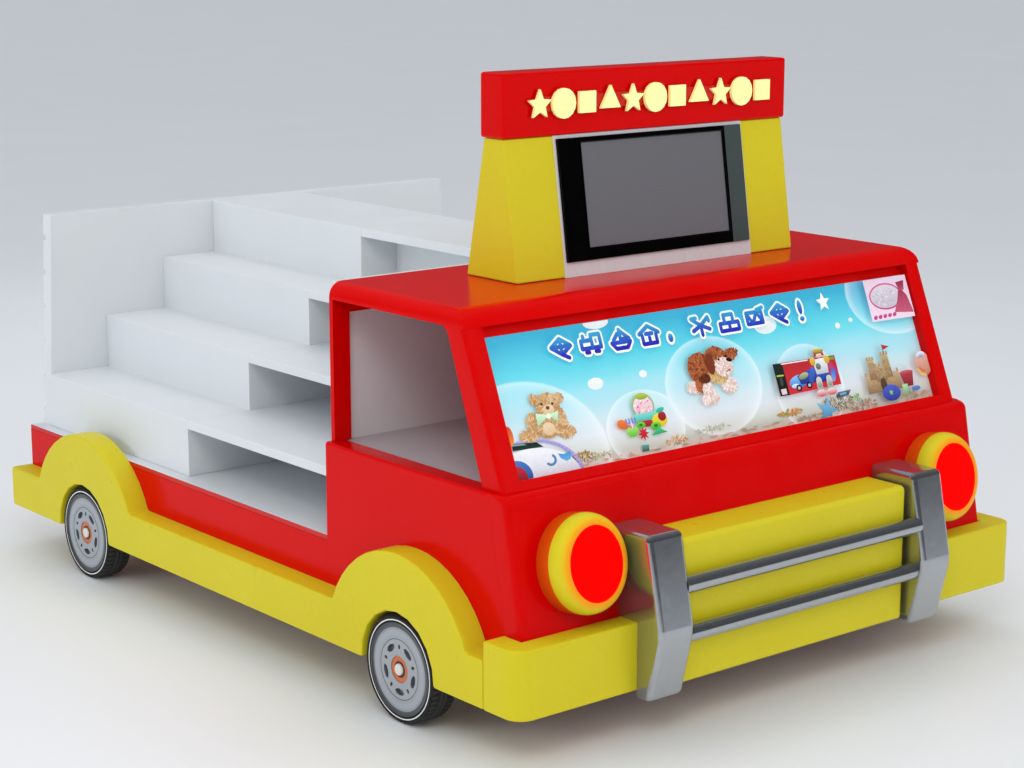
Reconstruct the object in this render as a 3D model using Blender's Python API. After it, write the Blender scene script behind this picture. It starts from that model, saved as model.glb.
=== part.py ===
# Toy-shop display kiosk in the shape of a small truck: a red cab with a light box behind its
# windscreen, stepped white shelving on the bed, a roof pylon with a television, four small wheels.
# X runs across, the front faces -Y, Z is up. The origin is under the middle of the kiosk, on the floor.

from math import atan, cos, pi, sin, sqrt

import bmesh
import bpy
from mathutils import Matrix, Vector

for old in list(bpy.data.objects):
    bpy.data.objects.remove(old, do_unlink=True)

# Driving dimensions, in metres. Distances ending in _Y are measured rearwards from the bumper's face.
GAP = 0.0003
LENGTH = 3.370
WIDTH = 2.400
BOARD = 0.018
BOARD_ROUND = 0.0015
EDGE_ROUND = 0.010
CUT_SPARE = 0.020

SKIRT_BOTTOM = 0.178
SKIRT_TOP = 0.343
SKIRT_DEPTH = 0.160
SKIRT_OVERHANG = 0.090
REAR_SKIRT_THICKNESS = 0.019
REAR_SKIRT_ROUND = 0.003
BUMPER_TOP = 0.408
BUMPER_DEPTH = 0.090
BUMPER_RETURN_Y = 0.174
BUMPER_CORNER = 0.065
BUMPER_ROUND = 0.008

TYRE_RADIUS = 0.186
TYRE_WIDTH = 0.108
TYRE_WALL = 0.026
TYRE_SIDES = 36
TYRE_SHOULDER = 0.010
TYRE_LIP = 0.003
WHEEL_INSET = 0.010
RIM_INSET = 0.004
DISC_BACK = 0.030
DISC_BACK_RADIUS = 0.096
HUB_INNER_RADIUS = 0.036
FRONT_AXLE_Y = 0.632
REAR_AXLE_Y = 2.755
ARCH_CLEARANCE = 0.012
FENDER_BAND = 0.204
HUB_BORE = 0.045
SLOT_PAIRS = 5
SLOT_DEPTH = 0.014
LONG_SLOT = (0.078, 0.025, 0.012)
SHORT_SLOT = (0.078, 0.006, 0.009)
BEARING_DEPTH = 0.018
BEARING_INSET = 0.002
SPINDLE_RADIUS = 0.013
AXLE_RADIUS = 0.025
GIRDER_OFFSET = 0.600
GIRDER_THICKNESS = 0.036
GIRDER_START_Y = 0.300

BODY_WALL = 0.070
DECK_TOP = 0.516
CAB_REAR_Y = 1.150
BELT = 0.850
CAB_LEAN = 0.191
CAB_WALL = 0.084
CAB_CORNER = 0.020
HOOD_RADIUS = 0.030

ROOF_TOP = 1.403
ROOF_THICKNESS = 0.058
ROOF_ROUND = 0.052
CAB_INSET = 0.025
SCREEN_BASE_Y = 0.211
SCREEN_LEAN = 0.404
SCREEN_SILL = 0.030
PILLAR_WIDTH = 0.075
PILLAR_BASE_DEPTH = 0.104
PILLAR_TOP_DEPTH = 0.088
PILLAR_ROUND = 0.018
WINDOW_CORNER = 0.040
HOOP_THICKNESS = 0.020
HOOP_POST = 0.070
HOOP_HEADER = 0.050
CAB_FLOOR_DROP = 0.004

POSTER_RECESS = 0.034
POSTER_THICKNESS = 0.006
POSTER_RAIL = 0.044
TRAY_DEPTH = 0.045
TRAY_WALL = 0.008

DISPLAY_TOP = 1.403
DISPLAY_INSET = 0.055
UPPER_TIER_HALF_WIDTHS = (0.775, 0.490, 0.235)
SHELF_THICKNESS = 0.035
CASE_FRONT_Y = 2.160
SPINE_HALF = 0.060
PANEL_FRONT_Y = 3.273
PANEL_THICKNESS = 0.066
PANEL_TAPER = 0.040
SLAT_COUNT = 6
SLAT_PITCH = 0.1424
SLAT_FIRST = 0.077
SLAT_HEIGHT = 0.022
SLAT_DEPTH = 0.018

LAMP_OFFSET = 0.865
LAMP_HEIGHT = 0.608
LAMP_RADIUS = 0.158
LAMP_LENGTH = 0.116
LAMP_ROUND = 0.034
LENS_RADIUS = 0.121
LENS_THICKNESS = 0.012
LENS_SEAT = 0.014

BAR_REACH = 0.110
BAR_TOP = 0.700
BAR_BOTTOM = 0.150
BAR_KNEE = 0.382
BAR_TOP_REACH = 0.050
BAR_BOTTOM_REACH = 0.058
BAR_OFFSET = 0.630
BAR_WIDTH = 0.150
BAR_KNEE_HALF = 0.020
BAR_LOW_ROUND = 0.026
BAR_HIGH_ROUND = 0.022
BAR_EDGE_ROUND = 0.018
TUBE_RADIUS = 0.027
TUBE_REACH = 0.058
TUBE_HEIGHTS = (0.519, 0.353)
GRILLE_REACH = 0.030
GRILLE_BOTTOM = 0.172
GRILLE_TOP = 0.660
GRILLE_LOW_ROUND = 0.012
GRILLE_HIGH_ROUND = 0.020
GRILLE_SIDE_CLEARANCE = 0.014

PYLON_OFFSET = 0.036
PYLON_HALF = 0.665
PYLON_BASE_Y = 0.700
PYLON_BASE_DEPTH = 0.275
PYLON_TOP_DEPTH = 0.106
PYLON_FRONT_LEAN = 0.150
PYLON_HEIGHT = 0.482
PYLON_WALL = 0.018
PYLON_ROUND = 0.008
HEADER_HEIGHT = 0.220
HEADER_OVERHANG = 0.009
TRIM_HALF = 0.450
TRIM_DEPTH = 0.062
TRIM_SIDE = 0.012
TRIM_FOOT = 0.050
TV_DEPTH = 0.064
TV_SCREEN_HALF = 0.338
TV_SCREEN_BOTTOM = 0.044
TV_SCREEN_HEIGHT = 0.362
TV_SCREEN_THICKNESS = 0.004
TV_ROUND = 0.003
SIGN_SHAPES = 11
SIGN_PITCH = 0.106
SIGN_RADIUS = 0.052
STAR_WAIST = 0.45
SIGN_DEPTH = 0.024
SIGN_RAIL_HEIGHT = 0.050
SIGN_RAIL_DEPTH = 0.008

INLET_WIDTH = 0.060
INLET_HEIGHT = 0.040
INLET_DEPTH = 0.012
INLET_OFFSET = 0.700

# Places worked out from the driving dimensions.
front = BAR_REACH - (LENGTH + BAR_REACH) / 2
half_width = WIDTH / 2
body_half = half_width - SKIRT_OVERHANG
body_inner = body_half - BODY_WALL
upper_half = body_half - CAB_INSET
screen_half = upper_half - PILLAR_WIDTH
wheel_outer = half_width - WHEEL_INSET
tyre_bore = TYRE_RADIUS - TYRE_WALL
axle_height = TYRE_RADIUS * cos(pi / TYRE_SIDES)
arch_radius = TYRE_RADIUS + ARCH_CLEARANCE
fender_radius = arch_radius + FENDER_BAND
bed_rear = LENGTH - REAR_SKIRT_THICKNESS
cab_back = CAB_REAR_Y + GAP
shelf_front = cab_back + BOARD + GAP
roof_under = ROOF_TOP - ROOF_THICKNESS
bed_wall_top = DECK_TOP - BOARD - GAP
tier_half_widths = (body_half - DISPLAY_INSET, *UPPER_TIER_HALF_WIDTHS)
riser = (DISPLAY_TOP - DECK_TOP) / len(tier_half_widths)
screen_tilt = atan(SCREEN_LEAN)
face_tilt = atan(CAB_LEAN)
pylon_tilt = atan(PYLON_FRONT_LEAN)
axle_stations = {"front": FRONT_AXLE_Y, "rear": REAR_AXLE_Y}
hands = {"left": -1, "right": 1}

# Colour, roughness and metallic value of each finish.
FINISHES = {
    "red": ((0.62, 0.006, 0.006, 1), 0.35, 0.0),
    "yellow": ((0.60, 0.50, 0.02, 1), 0.40, 0.0),
    "white": ((0.72, 0.76, 0.78, 1), 0.45, 0.0),
    "grey": ((0.40, 0.40, 0.40, 1), 0.50, 0.0),
    "rubber": ((0.012, 0.012, 0.012, 1), 0.70, 0.0),
    "wheel": ((0.42, 0.44, 0.47, 1), 0.40, 0.0),
    "bearing": ((0.62, 0.16, 0.05, 1), 0.35, 0.6),
    "steel": ((0.45, 0.46, 0.47, 1), 0.35, 1.0),
    "chrome": ((0.75, 0.76, 0.78, 1), 0.12, 1.0),
    "lens": ((0.95, 0.01, 0.01, 1), 0.20, 0.0),
    "poster": ((0.20, 0.62, 0.78, 1), 0.25, 0.0),
    "black": ((0.01, 0.01, 0.012, 1), 0.25, 0.0),
    "screen": ((0.12, 0.12, 0.13, 1), 0.15, 0.0),
    "cream": ((0.95, 0.90, 0.45, 1), 0.35, 0.0),
    "plywood": ((0.50, 0.34, 0.18, 1), 0.70, 0.0),
}


def finish(name, kind):
    colour, roughness, metallic = FINISHES[kind]
    material = bpy.data.materials.new(name)
    material.use_nodes = True
    shader = material.node_tree.nodes["Principled BSDF"]
    shader.inputs["Base Color"].default_value = colour
    shader.inputs["Roughness"].default_value = roughness
    shader.inputs["Metallic"].default_value = metallic
    return material


def add_piece(name, bm, kind, place=None, smooth=False):
    """Closes a bmesh into a named object with its own material."""
    bmesh.ops.recalc_face_normals(bm, faces=bm.faces)
    mesh = bpy.data.meshes.new(name)
    bm.to_mesh(mesh)
    bm.free()
    if smooth:
        mesh.shade_smooth()
        mesh.set_sharp_from_angle(angle=0.6)
    piece = bpy.data.objects.new(name, mesh)
    bpy.context.scene.collection.objects.link(piece)
    if place is not None:
        piece.matrix_world = place
    if kind:
        mesh.materials.append(finish(name, kind))
    return piece


def prism_mesh(outline, axis, low, high):
    """Extrudes a closed outline along an axis: (y, z) along X, (x, z) along Y, (x, y) along Z."""
    bm = bmesh.new()
    ends = []
    for depth in (low, high):
        ring = []
        for a, b in outline:
            point = {"X": (depth, a, b), "Y": (a, depth, b), "Z": (a, b, depth)}[axis]
            ring.append(bm.verts.new(point))
        ends.append(ring)
    count = len(outline)
    for i in range(count):
        j = (i + 1) % count
        bm.faces.new((ends[0][i], ends[0][j], ends[1][j], ends[1][i]))
    bm.faces.new(ends[0])
    bm.faces.new(ends[1])
    bmesh.ops.recalc_face_normals(bm, faces=bm.faces)
    return bm


def prism(name, outline, axis, low, high, kind, **options):
    return add_piece(name, prism_mesh(outline, axis, low, high), kind, **options)


def rectangle(a0, b0, a1, b1):
    return [(a0, b0), (a1, b0), (a1, b1), (a0, b1)]


def box(name, low, high, kind):
    return prism(name, rectangle(low[0], low[1], high[0], high[1]), "Z", low[2], high[2], kind)


def arc(centre, radius, start, end, steps):
    """Points along an arc, both ends included; angles in radians."""
    turns = (start + (end - start) * i / steps for i in range(steps + 1))
    return [(centre[0] + radius * cos(t), centre[1] + radius * sin(t)) for t in turns]


def fillet(before, corner, after, radius, steps=4):
    """Points of the arc that rounds one corner of an outline."""
    corner = Vector(corner)
    back = (Vector(before) - corner).normalized()
    ahead = (Vector(after) - corner).normalized()
    half = back.angle(ahead) / 2
    centre = corner + (back + ahead).normalized() * radius / sin(half)
    tangent = radius * cos(half) / sin(half)
    start = corner + back * tangent - centre
    end = corner + ahead * tangent - centre
    sweep = pi - 2 * half
    turn = 1 if start.x * end.y - start.y * end.x > 0 else -1
    points = []
    for step in range(steps + 1):
        angle = turn * sweep * step / steps
        points.append((centre.x + start.x * cos(angle) - start.y * sin(angle),
                       centre.y + start.x * sin(angle) + start.y * cos(angle)))
    return points


def rounded(corners, steps=4):
    """An outline whose corners (a, b, radius) are rounded."""
    points = []
    count = len(corners)
    for i, (a, b, radius) in enumerate(corners):
        if radius > 0:
            points += fillet(corners[i - 1][:2], (a, b), corners[(i + 1) % count][:2], radius, steps)
        else:
            points.append((a, b))
    return points


def turned(name, profile, place, kind, sides):
    """Turns a closed profile of (radius, depth) about the local X axis; a facet faces straight down."""
    bm = bmesh.new()
    rings = []
    for side in range(sides):
        angle = -pi / 2 + pi / sides + 2 * pi * side / sides
        rings.append([bm.verts.new((x, r * cos(angle), r * sin(angle))) for r, x in profile])
    count = len(profile)
    for side in range(sides):
        ring, following = rings[side], rings[(side + 1) % sides]
        for i in range(count):
            j = (i + 1) % count
            bm.faces.new((ring[i], ring[j], following[j], following[i]))
    return add_piece(name, bm, kind, place=place, smooth=True)


def solid_turned(name, steps, place, kind, sides):
    """Turns a solid shaft whose (radius, x) steps run from one end cap to the other."""
    bm = bmesh.new()
    rings = []
    for radius, x in steps:
        ring = []
        for side in range(sides):
            angle = -pi / 2 + pi / sides + 2 * pi * side / sides
            ring.append(bm.verts.new((x, radius * cos(angle), radius * sin(angle))))
        rings.append(ring)
    for ring, following in zip(rings, rings[1:]):
        for side in range(sides):
            other = (side + 1) % sides
            bm.faces.new((ring[side], ring[other], following[other], following[side]))
    bm.faces.new(rings[0])
    bm.faces.new(rings[-1])
    return add_piece(name, bm, kind, place=place, smooth=True)


def soften(piece, width, segments=2):
    """Rounds every sharp edge of a simple piece."""
    bevel = piece.modifiers.new("soft_edges", "BEVEL")
    bevel.width = width
    bevel.segments = segments
    bevel.limit_method = "ANGLE"
    bevel.angle_limit = 0.6
    return piece


def round_edges(bm, chosen, width, segments=3):
    """Rounds the edges whose middle passes a test."""
    edges = [e for e in bm.edges if chosen((e.verts[0].co + e.verts[1].co) / 2)]
    bmesh.ops.bevel(bm, geom=edges, offset=width, offset_type="OFFSET", segments=segments,
                    profile=0.5, affect="EDGES")
    return bm


def boolean(piece, tool, operation="DIFFERENCE"):
    """Cuts a tool from a piece, or joins it on; the tool itself isn't part of the model."""
    modifier = piece.modifiers.new(tool.name, "BOOLEAN")
    modifier.operation = operation
    modifier.solver = "EXACT"
    modifier.object = tool
    tool.hide_render = True
    tool.display_type = "WIRE"
    return piece


def at(y, x=0.0, z=0.0):
    return Matrix.Translation((x, front + y, z))


def face_y(z):
    """Front of the cab's leaning lower face."""
    return BUMPER_DEPTH + GAP + max(z - BUMPER_TOP, 0.0) * CAB_LEAN


def screen_y(z):
    """Front of the cab's leaning windscreen plane."""
    return SCREEN_BASE_Y + (z - BELT) * SCREEN_LEAN


def shifted(outline):
    """Moves a (y, z) outline from bumper distances to the kiosk's own Y."""
    return [(front + y, z) for y, z in outline]


def wheel_notch(station, floor_z):
    """The arch that a wall standing at floor_z needs over a wheel, from front to rear."""
    reach = sqrt(arch_radius ** 2 - (floor_z - axle_height) ** 2)
    start = pi - atan((floor_z - axle_height) / reach)
    return arc((station, axle_height), arch_radius, start, pi - start, 10)


# Running gear: two axles, and a tyre, wheel and bearing at each end of both.
def add_axle(end, station):
    spindle_start = wheel_outer - TYRE_WIDTH - WHEEL_INSET
    steps = [(SPINDLE_RADIUS, -wheel_outer), (SPINDLE_RADIUS, -spindle_start),
             (AXLE_RADIUS, -spindle_start), (AXLE_RADIUS, spindle_start),
             (SPINDLE_RADIUS, spindle_start), (SPINDLE_RADIUS, wheel_outer)]
    solid_turned(f"axle_{end}", steps, at(station, z=axle_height), "steel", 16)


def add_wheel(end, station, hand, side):
    """The wheel's face is at local X = 0 and its inner side at the far end of the tyre's width."""
    name = f"{end}_{hand}"
    place = at(station, side * wheel_outer, axle_height) @ Matrix.Rotation(pi if side > 0 else 0, 4, "Z")
    shoulder = TYRE_SHOULDER
    tyre = [(tyre_bore, TYRE_LIP), (TYRE_RADIUS - shoulder, 0.0), (TYRE_RADIUS - TYRE_LIP, TYRE_LIP),
            (TYRE_RADIUS, shoulder), (TYRE_RADIUS, TYRE_WIDTH - shoulder),
            (TYRE_RADIUS - shoulder, TYRE_WIDTH), (tyre_bore, TYRE_WIDTH - TYRE_LIP)]
    turned(f"tyre_{name}", tyre, place, "rubber", TYRE_SIDES)

    rim = tyre_bore - GAP
    back, seat = TYRE_WIDTH - DISC_BACK, RIM_INSET + BEARING_DEPTH + GAP
    disc = [(HUB_BORE, RIM_INSET), (rim, RIM_INSET), (rim, TYRE_WIDTH - shoulder), (DISC_BACK_RADIUS, back),
            (HUB_INNER_RADIUS, back), (HUB_INNER_RADIUS, seat), (HUB_BORE, seat)]
    wheel = turned(f"wheel_{name}", disc, place, "wheel", TYRE_SIDES)
    boolean(wheel, add_slot_cutter(name, place))

    inner, face = SPINDLE_RADIUS + GAP, RIM_INSET + BEARING_INSET
    race = [(inner, face), (HUB_BORE - GAP, face), (HUB_BORE - GAP, seat - GAP), (inner, seat - GAP)]
    turned(f"bearing_{name}", race, place, "bearing", 24)


def add_slot_cutter(name, place):
    """Short and long blind slots in turn between the hub and the rim of a wheel's face."""
    bm = bmesh.new()
    sides = 8
    for i in range(2 * SLOT_PAIRS):
        middle, half_length, half_height = LONG_SLOT if i % 2 else SHORT_SLOT
        turn = Matrix.Rotation(pi * i / SLOT_PAIRS, 4, "X")
        rings = []
        for x in (-RIM_INSET, RIM_INSET + SLOT_DEPTH):
            ring = []
            for step in range(sides):
                angle = 2 * pi * step / sides
                point = Vector((x, half_length * cos(angle), middle + half_height * sin(angle)))
                ring.append(bm.verts.new(turn @ point))
            rings.append(ring)
        for step in range(sides):
            other = (step + 1) % sides
            bm.faces.new((rings[0][step], rings[0][other], rings[1][other], rings[1][step]))
        bm.faces.new(rings[0])
        bm.faces.new(rings[1])
    return add_piece(f"slot_cutter_{name}", bm, None, place=place)


# Base: the yellow bumper and skirts, and the two plywood girders on the axles.
def add_base():
    outer = rounded([(-half_width, BUMPER_RETURN_Y, 0), (-half_width, 0, BUMPER_CORNER),
                     (half_width, 0, BUMPER_CORNER), (half_width, BUMPER_RETURN_Y, 0),
                     (body_half + GAP, BUMPER_RETURN_Y, 0), (body_half + GAP, BUMPER_DEPTH, 0),
                     (-body_half - GAP, BUMPER_DEPTH, 0), (-body_half - GAP, BUMPER_RETURN_Y, 0)], steps=6)
    outline = [(x, front + y) for x, y in outer]
    soften(prism("front_bumper", outline, "Z", SKIRT_BOTTOM, BUMPER_TOP, "yellow"), BUMPER_ROUND)

    for hand, side in hands.items():
        add_skirt(hand, side)
        girder_low = axle_height + AXLE_RADIUS + GAP
        middle = side * GIRDER_OFFSET
        girder_low_corner = (middle - GIRDER_THICKNESS / 2, front + GIRDER_START_Y, girder_low)
        girder_high_corner = (middle + GIRDER_THICKNESS / 2, front + bed_rear - BODY_WALL, bed_wall_top)
        box(f"base_girder_{hand}", girder_low_corner, girder_high_corner, "plywood")

    reach = half_width - SKIRT_DEPTH - GAP
    soften(prism("rear_skirt", rectangle(-reach, SKIRT_BOTTOM, reach, SKIRT_TOP), "Y",
                 front + bed_rear + GAP, front + LENGTH, "yellow"), REAR_SKIRT_ROUND)


def add_skirt(hand, side):
    """A side skirt with its two round fenders, and the inner ledge that the red walls stand on."""
    outline = [(BUMPER_RETURN_Y + GAP, SKIRT_BOTTOM)]
    for station in axle_stations.values():
        outline += wheel_notch(station, SKIRT_BOTTOM)
    outline += [(LENGTH, SKIRT_BOTTOM), (LENGTH, SKIRT_TOP)]
    rise = SKIRT_TOP - axle_height
    start = atan(rise / sqrt(fender_radius ** 2 - rise ** 2))
    for station in reversed(axle_stations.values()):
        outline += arc((station, axle_height), fender_radius, start, pi - start, 16)
    outline.append((BUMPER_RETURN_Y + GAP, SKIRT_TOP))
    low, high = sorted((side * (half_width - SKIRT_DEPTH), side * half_width))
    skirt = prism(f"skirt_{hand}", shifted(outline), "X", low, high, "yellow", smooth=True)
    soften(skirt, EDGE_ROUND)

    low, high = sorted((side * (half_width - SKIRT_DEPTH - CUT_SPARE), side * (body_half + GAP)))
    over_ledge = prism_mesh(rectangle(low, front, high, front + LENGTH + CUT_SPARE), "Z", SKIRT_TOP + GAP / 3,
                            axle_height + fender_radius + CUT_SPARE)
    boolean(skirt, add_piece(f"ledge_cutter_{hand}", over_ledge, None))


# Red walls of the bed, the white deck on them, and the power inlet at the back.
def add_bed():
    wall_low = SKIRT_TOP + GAP
    outline = [(cab_back, wall_low), *wheel_notch(REAR_AXLE_Y, wall_low), (bed_rear, wall_low),
               (bed_rear, bed_wall_top), (cab_back, bed_wall_top)]
    for hand, side in hands.items():
        low, high = sorted((side * body_inner, side * body_half))
        prism(f"bed_side_{hand}", shifted(outline), "X", low, high, "red")
    reach = body_inner - GAP
    box("bed_tail", (-reach, front + bed_rear - BODY_WALL / 2, SKIRT_BOTTOM + BOARD),
        (reach, front + bed_rear, bed_wall_top), "red")
    soften(box("deck_board", (-body_half, front + cab_back, DECK_TOP - BOARD),
               (body_half, front + bed_rear, DECK_TOP), "white"), BOARD_ROUND, 1)
    middle = (wall_low + bed_wall_top) / 2
    soften(box("power_inlet", (INLET_OFFSET, front + bed_rear + GAP, middle - INLET_HEIGHT / 2),
               (INLET_OFFSET + INLET_WIDTH, front + bed_rear + GAP + INLET_DEPTH, middle + INLET_HEIGHT / 2),
               "black"), TV_ROUND)


# Stepped display: a closed case at the back, open cubbies ahead of it, and the grooved rear panel.
def tier_top(tier):
    return DECK_TOP + riser * (tier + 1)


def stepped_outline(inset, floor_z):
    climb = []
    below = floor_z
    for tier, half in enumerate(tier_half_widths):
        climb += [(half - inset, below), (half - inset, tier_top(tier) - inset)]
        below = tier_top(tier) - inset
    return climb + [(-x, z) for x, z in reversed(climb)]


def add_display():
    rear = front + PANEL_FRONT_Y - GAP
    middle = front + CASE_FRONT_Y
    start = front + shelf_front
    case = prism("stepped_case", stepped_outline(0, DECK_TOP + GAP), "Y", middle, rear, "white")
    soften(case, BOARD_ROUND, 1)
    inside = prism_mesh(stepped_outline(BOARD, DECK_TOP - BOARD), "Y", middle + BOARD, rear + BOARD)
    boolean(case, add_piece("case_cutter", inside, None))

    for tier, half in enumerate(tier_half_widths[:-1]):
        for hand, side in hands.items():
            low, high = sorted((side * (SPINE_HALF + GAP), side * half))
            board = box(f"shelf_{hand}_{tier + 1}", (low, start, tier_top(tier) - SHELF_THICKNESS),
                        (high, middle - GAP, tier_top(tier)), "white")
            soften(board, BOARD_ROUND, 1)

    ridge_half, under = tier_half_widths[-1], DISPLAY_TOP - SHELF_THICKNESS
    tee = [(-SPINE_HALF, DECK_TOP + GAP), (SPINE_HALF, DECK_TOP + GAP), (SPINE_HALF, under),
           (ridge_half, under), (ridge_half, DISPLAY_TOP), (-ridge_half, DISPLAY_TOP),
           (-ridge_half, under), (-SPINE_HALF, under)]
    spine = soften(prism("ridge_spine", tee, "Y", start, middle - GAP, "white"), BOARD_ROUND, 1)
    duct_half = SPINE_HALF - BOARD
    duct = prism_mesh(rectangle(-duct_half, start + BOARD, duct_half, middle - GAP - BOARD), "Z",
                      DECK_TOP - BOARD, under - BOARD)
    boolean(spine, add_piece("duct_cutter", duct, None))
    add_slatwall()


def add_slatwall():
    low, high, rear = DECK_TOP + GAP, DISPLAY_TOP, PANEL_FRONT_Y + PANEL_THICKNESS
    outline = [(PANEL_FRONT_Y, low), (PANEL_FRONT_Y, high), (rear, high)]
    for slat in reversed(range(SLAT_COUNT)):
        middle = DECK_TOP + SLAT_FIRST + slat * SLAT_PITCH
        top, bottom = middle + SLAT_HEIGHT / 2, middle - SLAT_HEIGHT / 2
        outline += [(rear, top), (rear - SLAT_DEPTH, top), (rear - SLAT_DEPTH, bottom), (rear, bottom)]
    outline.append((rear, low))
    bottom_half = tier_half_widths[0]
    bm = prism_mesh(shifted(outline), "X", -bottom_half, bottom_half)
    for vert in bm.verts:
        taper = (vert.co.z - low) / (high - low)
        vert.co.x *= 1 - taper * PANEL_TAPER / bottom_half
    add_piece("slatwall_panel", bm, "white")


# Cab: leaning front, side walls, windscreen pillars, rounded roof, rear hoop, floor and back panel.
def add_cab():
    back_top = face_y(BELT) + CAB_WALL
    bottom = SKIRT_BOTTOM + BOARD
    profile = rounded([(face_y(0), bottom, 0), (face_y(BUMPER_TOP), BUMPER_TOP, 0),
                       (face_y(BELT), BELT, HOOD_RADIUS), (back_top, BELT, 0),
                       (face_y(BUMPER_TOP) + CAB_WALL, BUMPER_TOP, 0), (face_y(0) + CAB_WALL, bottom, 0)])
    bm = prism_mesh(shifted(profile), "X", -body_half, body_half)

    def on_front_corner(co):
        return abs(co.x) > body_half - GAP and co.y - front - face_y(co.z) < CAB_WALL / 2

    round_edges(bm, on_front_corner, CAB_CORNER, 4)
    cab_front = add_piece("cab_front", bm, "red", smooth=True)
    sill_depth = POSTER_RECESS + POSTER_THICKNESS
    sill_top = SCREEN_SILL / cos(screen_tilt)
    reach = screen_half - GAP
    sill = prism_mesh(rectangle(0, -CUT_SPARE, sill_depth, sill_top), "X", -reach, reach)
    boolean(cab_front, add_piece("sill_tool", sill, None, place=screen_frame()), "UNION")

    for hand, side in hands.items():
        add_cab_side(hand, side, back_top)
        add_pillar(hand, side)
    add_roof()

    hoop_low, hoop_high = BELT + GAP, roof_under - GAP
    reach, opening, opening_top = upper_half, upper_half - HOOP_POST, roof_under - HOOP_HEADER
    hoop = [(-reach, hoop_low), (-reach, hoop_high), (reach, hoop_high), (reach, hoop_low),
            (opening, hoop_low), (opening, opening_top), (-opening, opening_top), (-opening, hoop_low)]
    prism("rear_hoop", hoop, "Y", front + CAB_REAR_Y - HOOP_THICKNESS, front + CAB_REAR_Y, "red")

    floor_top = BELT - CAB_FLOOR_DROP
    reach = body_inner - GAP
    box("cab_floor", (-reach, front + back_top + GAP, floor_top - BOARD),
        (reach, front + CAB_REAR_Y, floor_top), "grey")
    half = tier_half_widths[0]
    box("cab_back_panel", (-half, front + cab_back, DECK_TOP + GAP),
        (half, front + cab_back + BOARD, ROOF_TOP), "white")


def add_cab_side(hand, side, back_top):
    low_z = SKIRT_TOP + GAP
    outline = [(face_y(0) + CAB_WALL + GAP, low_z), *wheel_notch(FRONT_AXLE_Y, low_z),
               (CAB_REAR_Y, low_z), (CAB_REAR_Y, BELT), (back_top + GAP, BELT),
               (face_y(BUMPER_TOP) + CAB_WALL + GAP, BUMPER_TOP)]
    low, high = sorted((side * body_inner, side * body_half))
    bm = prism_mesh(shifted(outline), "X", low, high)
    round_edges(bm, lambda co: abs(co.x) > body_half - GAP and co.z > BELT - GAP, EDGE_ROUND, 3)
    add_piece(f"cab_side_{hand}", bm, "red", smooth=True)


def add_pillar(hand, side):
    low_z, high_z = BELT + GAP, roof_under - GAP
    base = (screen_y(low_z) + PILLAR_BASE_DEPTH, low_z)
    top = (screen_y(high_z) + PILLAR_TOP_DEPTH, high_z)
    corner = fillet(base, top, (top[0] + 1, high_z), WINDOW_CORNER, 6)
    outline = [(screen_y(low_z), low_z), base, *corner, (screen_y(high_z), high_z)]
    low, high = sorted((side * screen_half, side * upper_half))
    bm = prism_mesh(shifted(outline), "X", low, high)

    def on_outer_front(co):
        return abs(co.x) > upper_half - GAP and abs(co.y - front - screen_y(co.z)) < GAP

    round_edges(bm, on_outer_front, PILLAR_ROUND, 3)
    add_piece(f"windscreen_pillar_{hand}", bm, "red", smooth=True)


def add_roof():
    profile = [(screen_y(roof_under), roof_under), (screen_y(ROOF_TOP), ROOF_TOP), (CAB_REAR_Y, ROOF_TOP),
               (CAB_REAR_Y, roof_under)]
    bm = prism_mesh(shifted(profile), "X", -upper_half, upper_half)

    def on_top_edge(co):
        at_front = co.y < front + screen_y(ROOF_TOP) + GAP
        return co.z > ROOF_TOP - GAP and (at_front or abs(co.x) > upper_half - GAP)

    round_edges(bm, on_top_edge, ROOF_ROUND, 6)
    add_piece("cab_roof", bm, "red", smooth=True)


def screen_frame():
    """Frame on the windscreen plane: X across, Y inwards, Z up the slope from the belt."""
    return at(SCREEN_BASE_Y, z=BELT) @ Matrix.Rotation(-screen_tilt, 4, "X")


def add_light_box():
    reach = screen_half - GAP
    face, back = POSTER_RECESS, POSTER_RECESS + POSTER_THICKNESS
    high = (roof_under - GAP - BELT + face * sin(screen_tilt)) / cos(screen_tilt)
    rail = high - POSTER_RAIL
    deep = back + GAP + TRAY_DEPTH
    low = (2 * GAP + deep * sin(screen_tilt)) / cos(screen_tilt)
    inner = deep - TRAY_WALL
    section = [(face, rail), (face, high), (deep, high), (deep, low), (back + GAP, low),
               (back + GAP, low + TRAY_WALL), (inner, low + TRAY_WALL), (inner, rail)]
    prism("light_box_tray", section, "X", -reach, reach, "red", place=screen_frame())
    poster_low = SCREEN_SILL / cos(screen_tilt) + GAP
    prism("poster_panel", rectangle(face, poster_low, back, rail - GAP), "X", -reach, reach, "poster",
          place=screen_frame())


# Headlamps: a rounded ring with a flush lens, square to the leaning front.
def add_headlamp(hand, side):
    place = at(face_y(LAMP_HEIGHT), side * LAMP_OFFSET, LAMP_HEIGHT)
    place = place @ Matrix.Rotation(-face_tilt, 4, "X") @ Matrix.Rotation(-pi / 2, 4, "Z")
    seat = LAMP_LENGTH - LENS_SEAT
    bore = LENS_RADIUS - LENS_SEAT
    shoulder = fillet((LAMP_RADIUS, 0), (LAMP_RADIUS, LAMP_LENGTH), (0, LAMP_LENGTH), LAMP_ROUND, 4)
    profile = [(LAMP_RADIUS, GAP), *shoulder, (LENS_RADIUS + GAP, LAMP_LENGTH), (LENS_RADIUS + GAP, seat),
               (bore, seat), (bore, GAP)]
    turned(f"headlamp_ring_{hand}", profile, place, "yellow", 32)
    steps = [(LENS_RADIUS - GAP, seat + GAP), (LENS_RADIUS - GAP, seat + LENS_THICKNESS)]
    solid_turned(f"headlamp_lens_{hand}", steps, place, "lens", 32)


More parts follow.
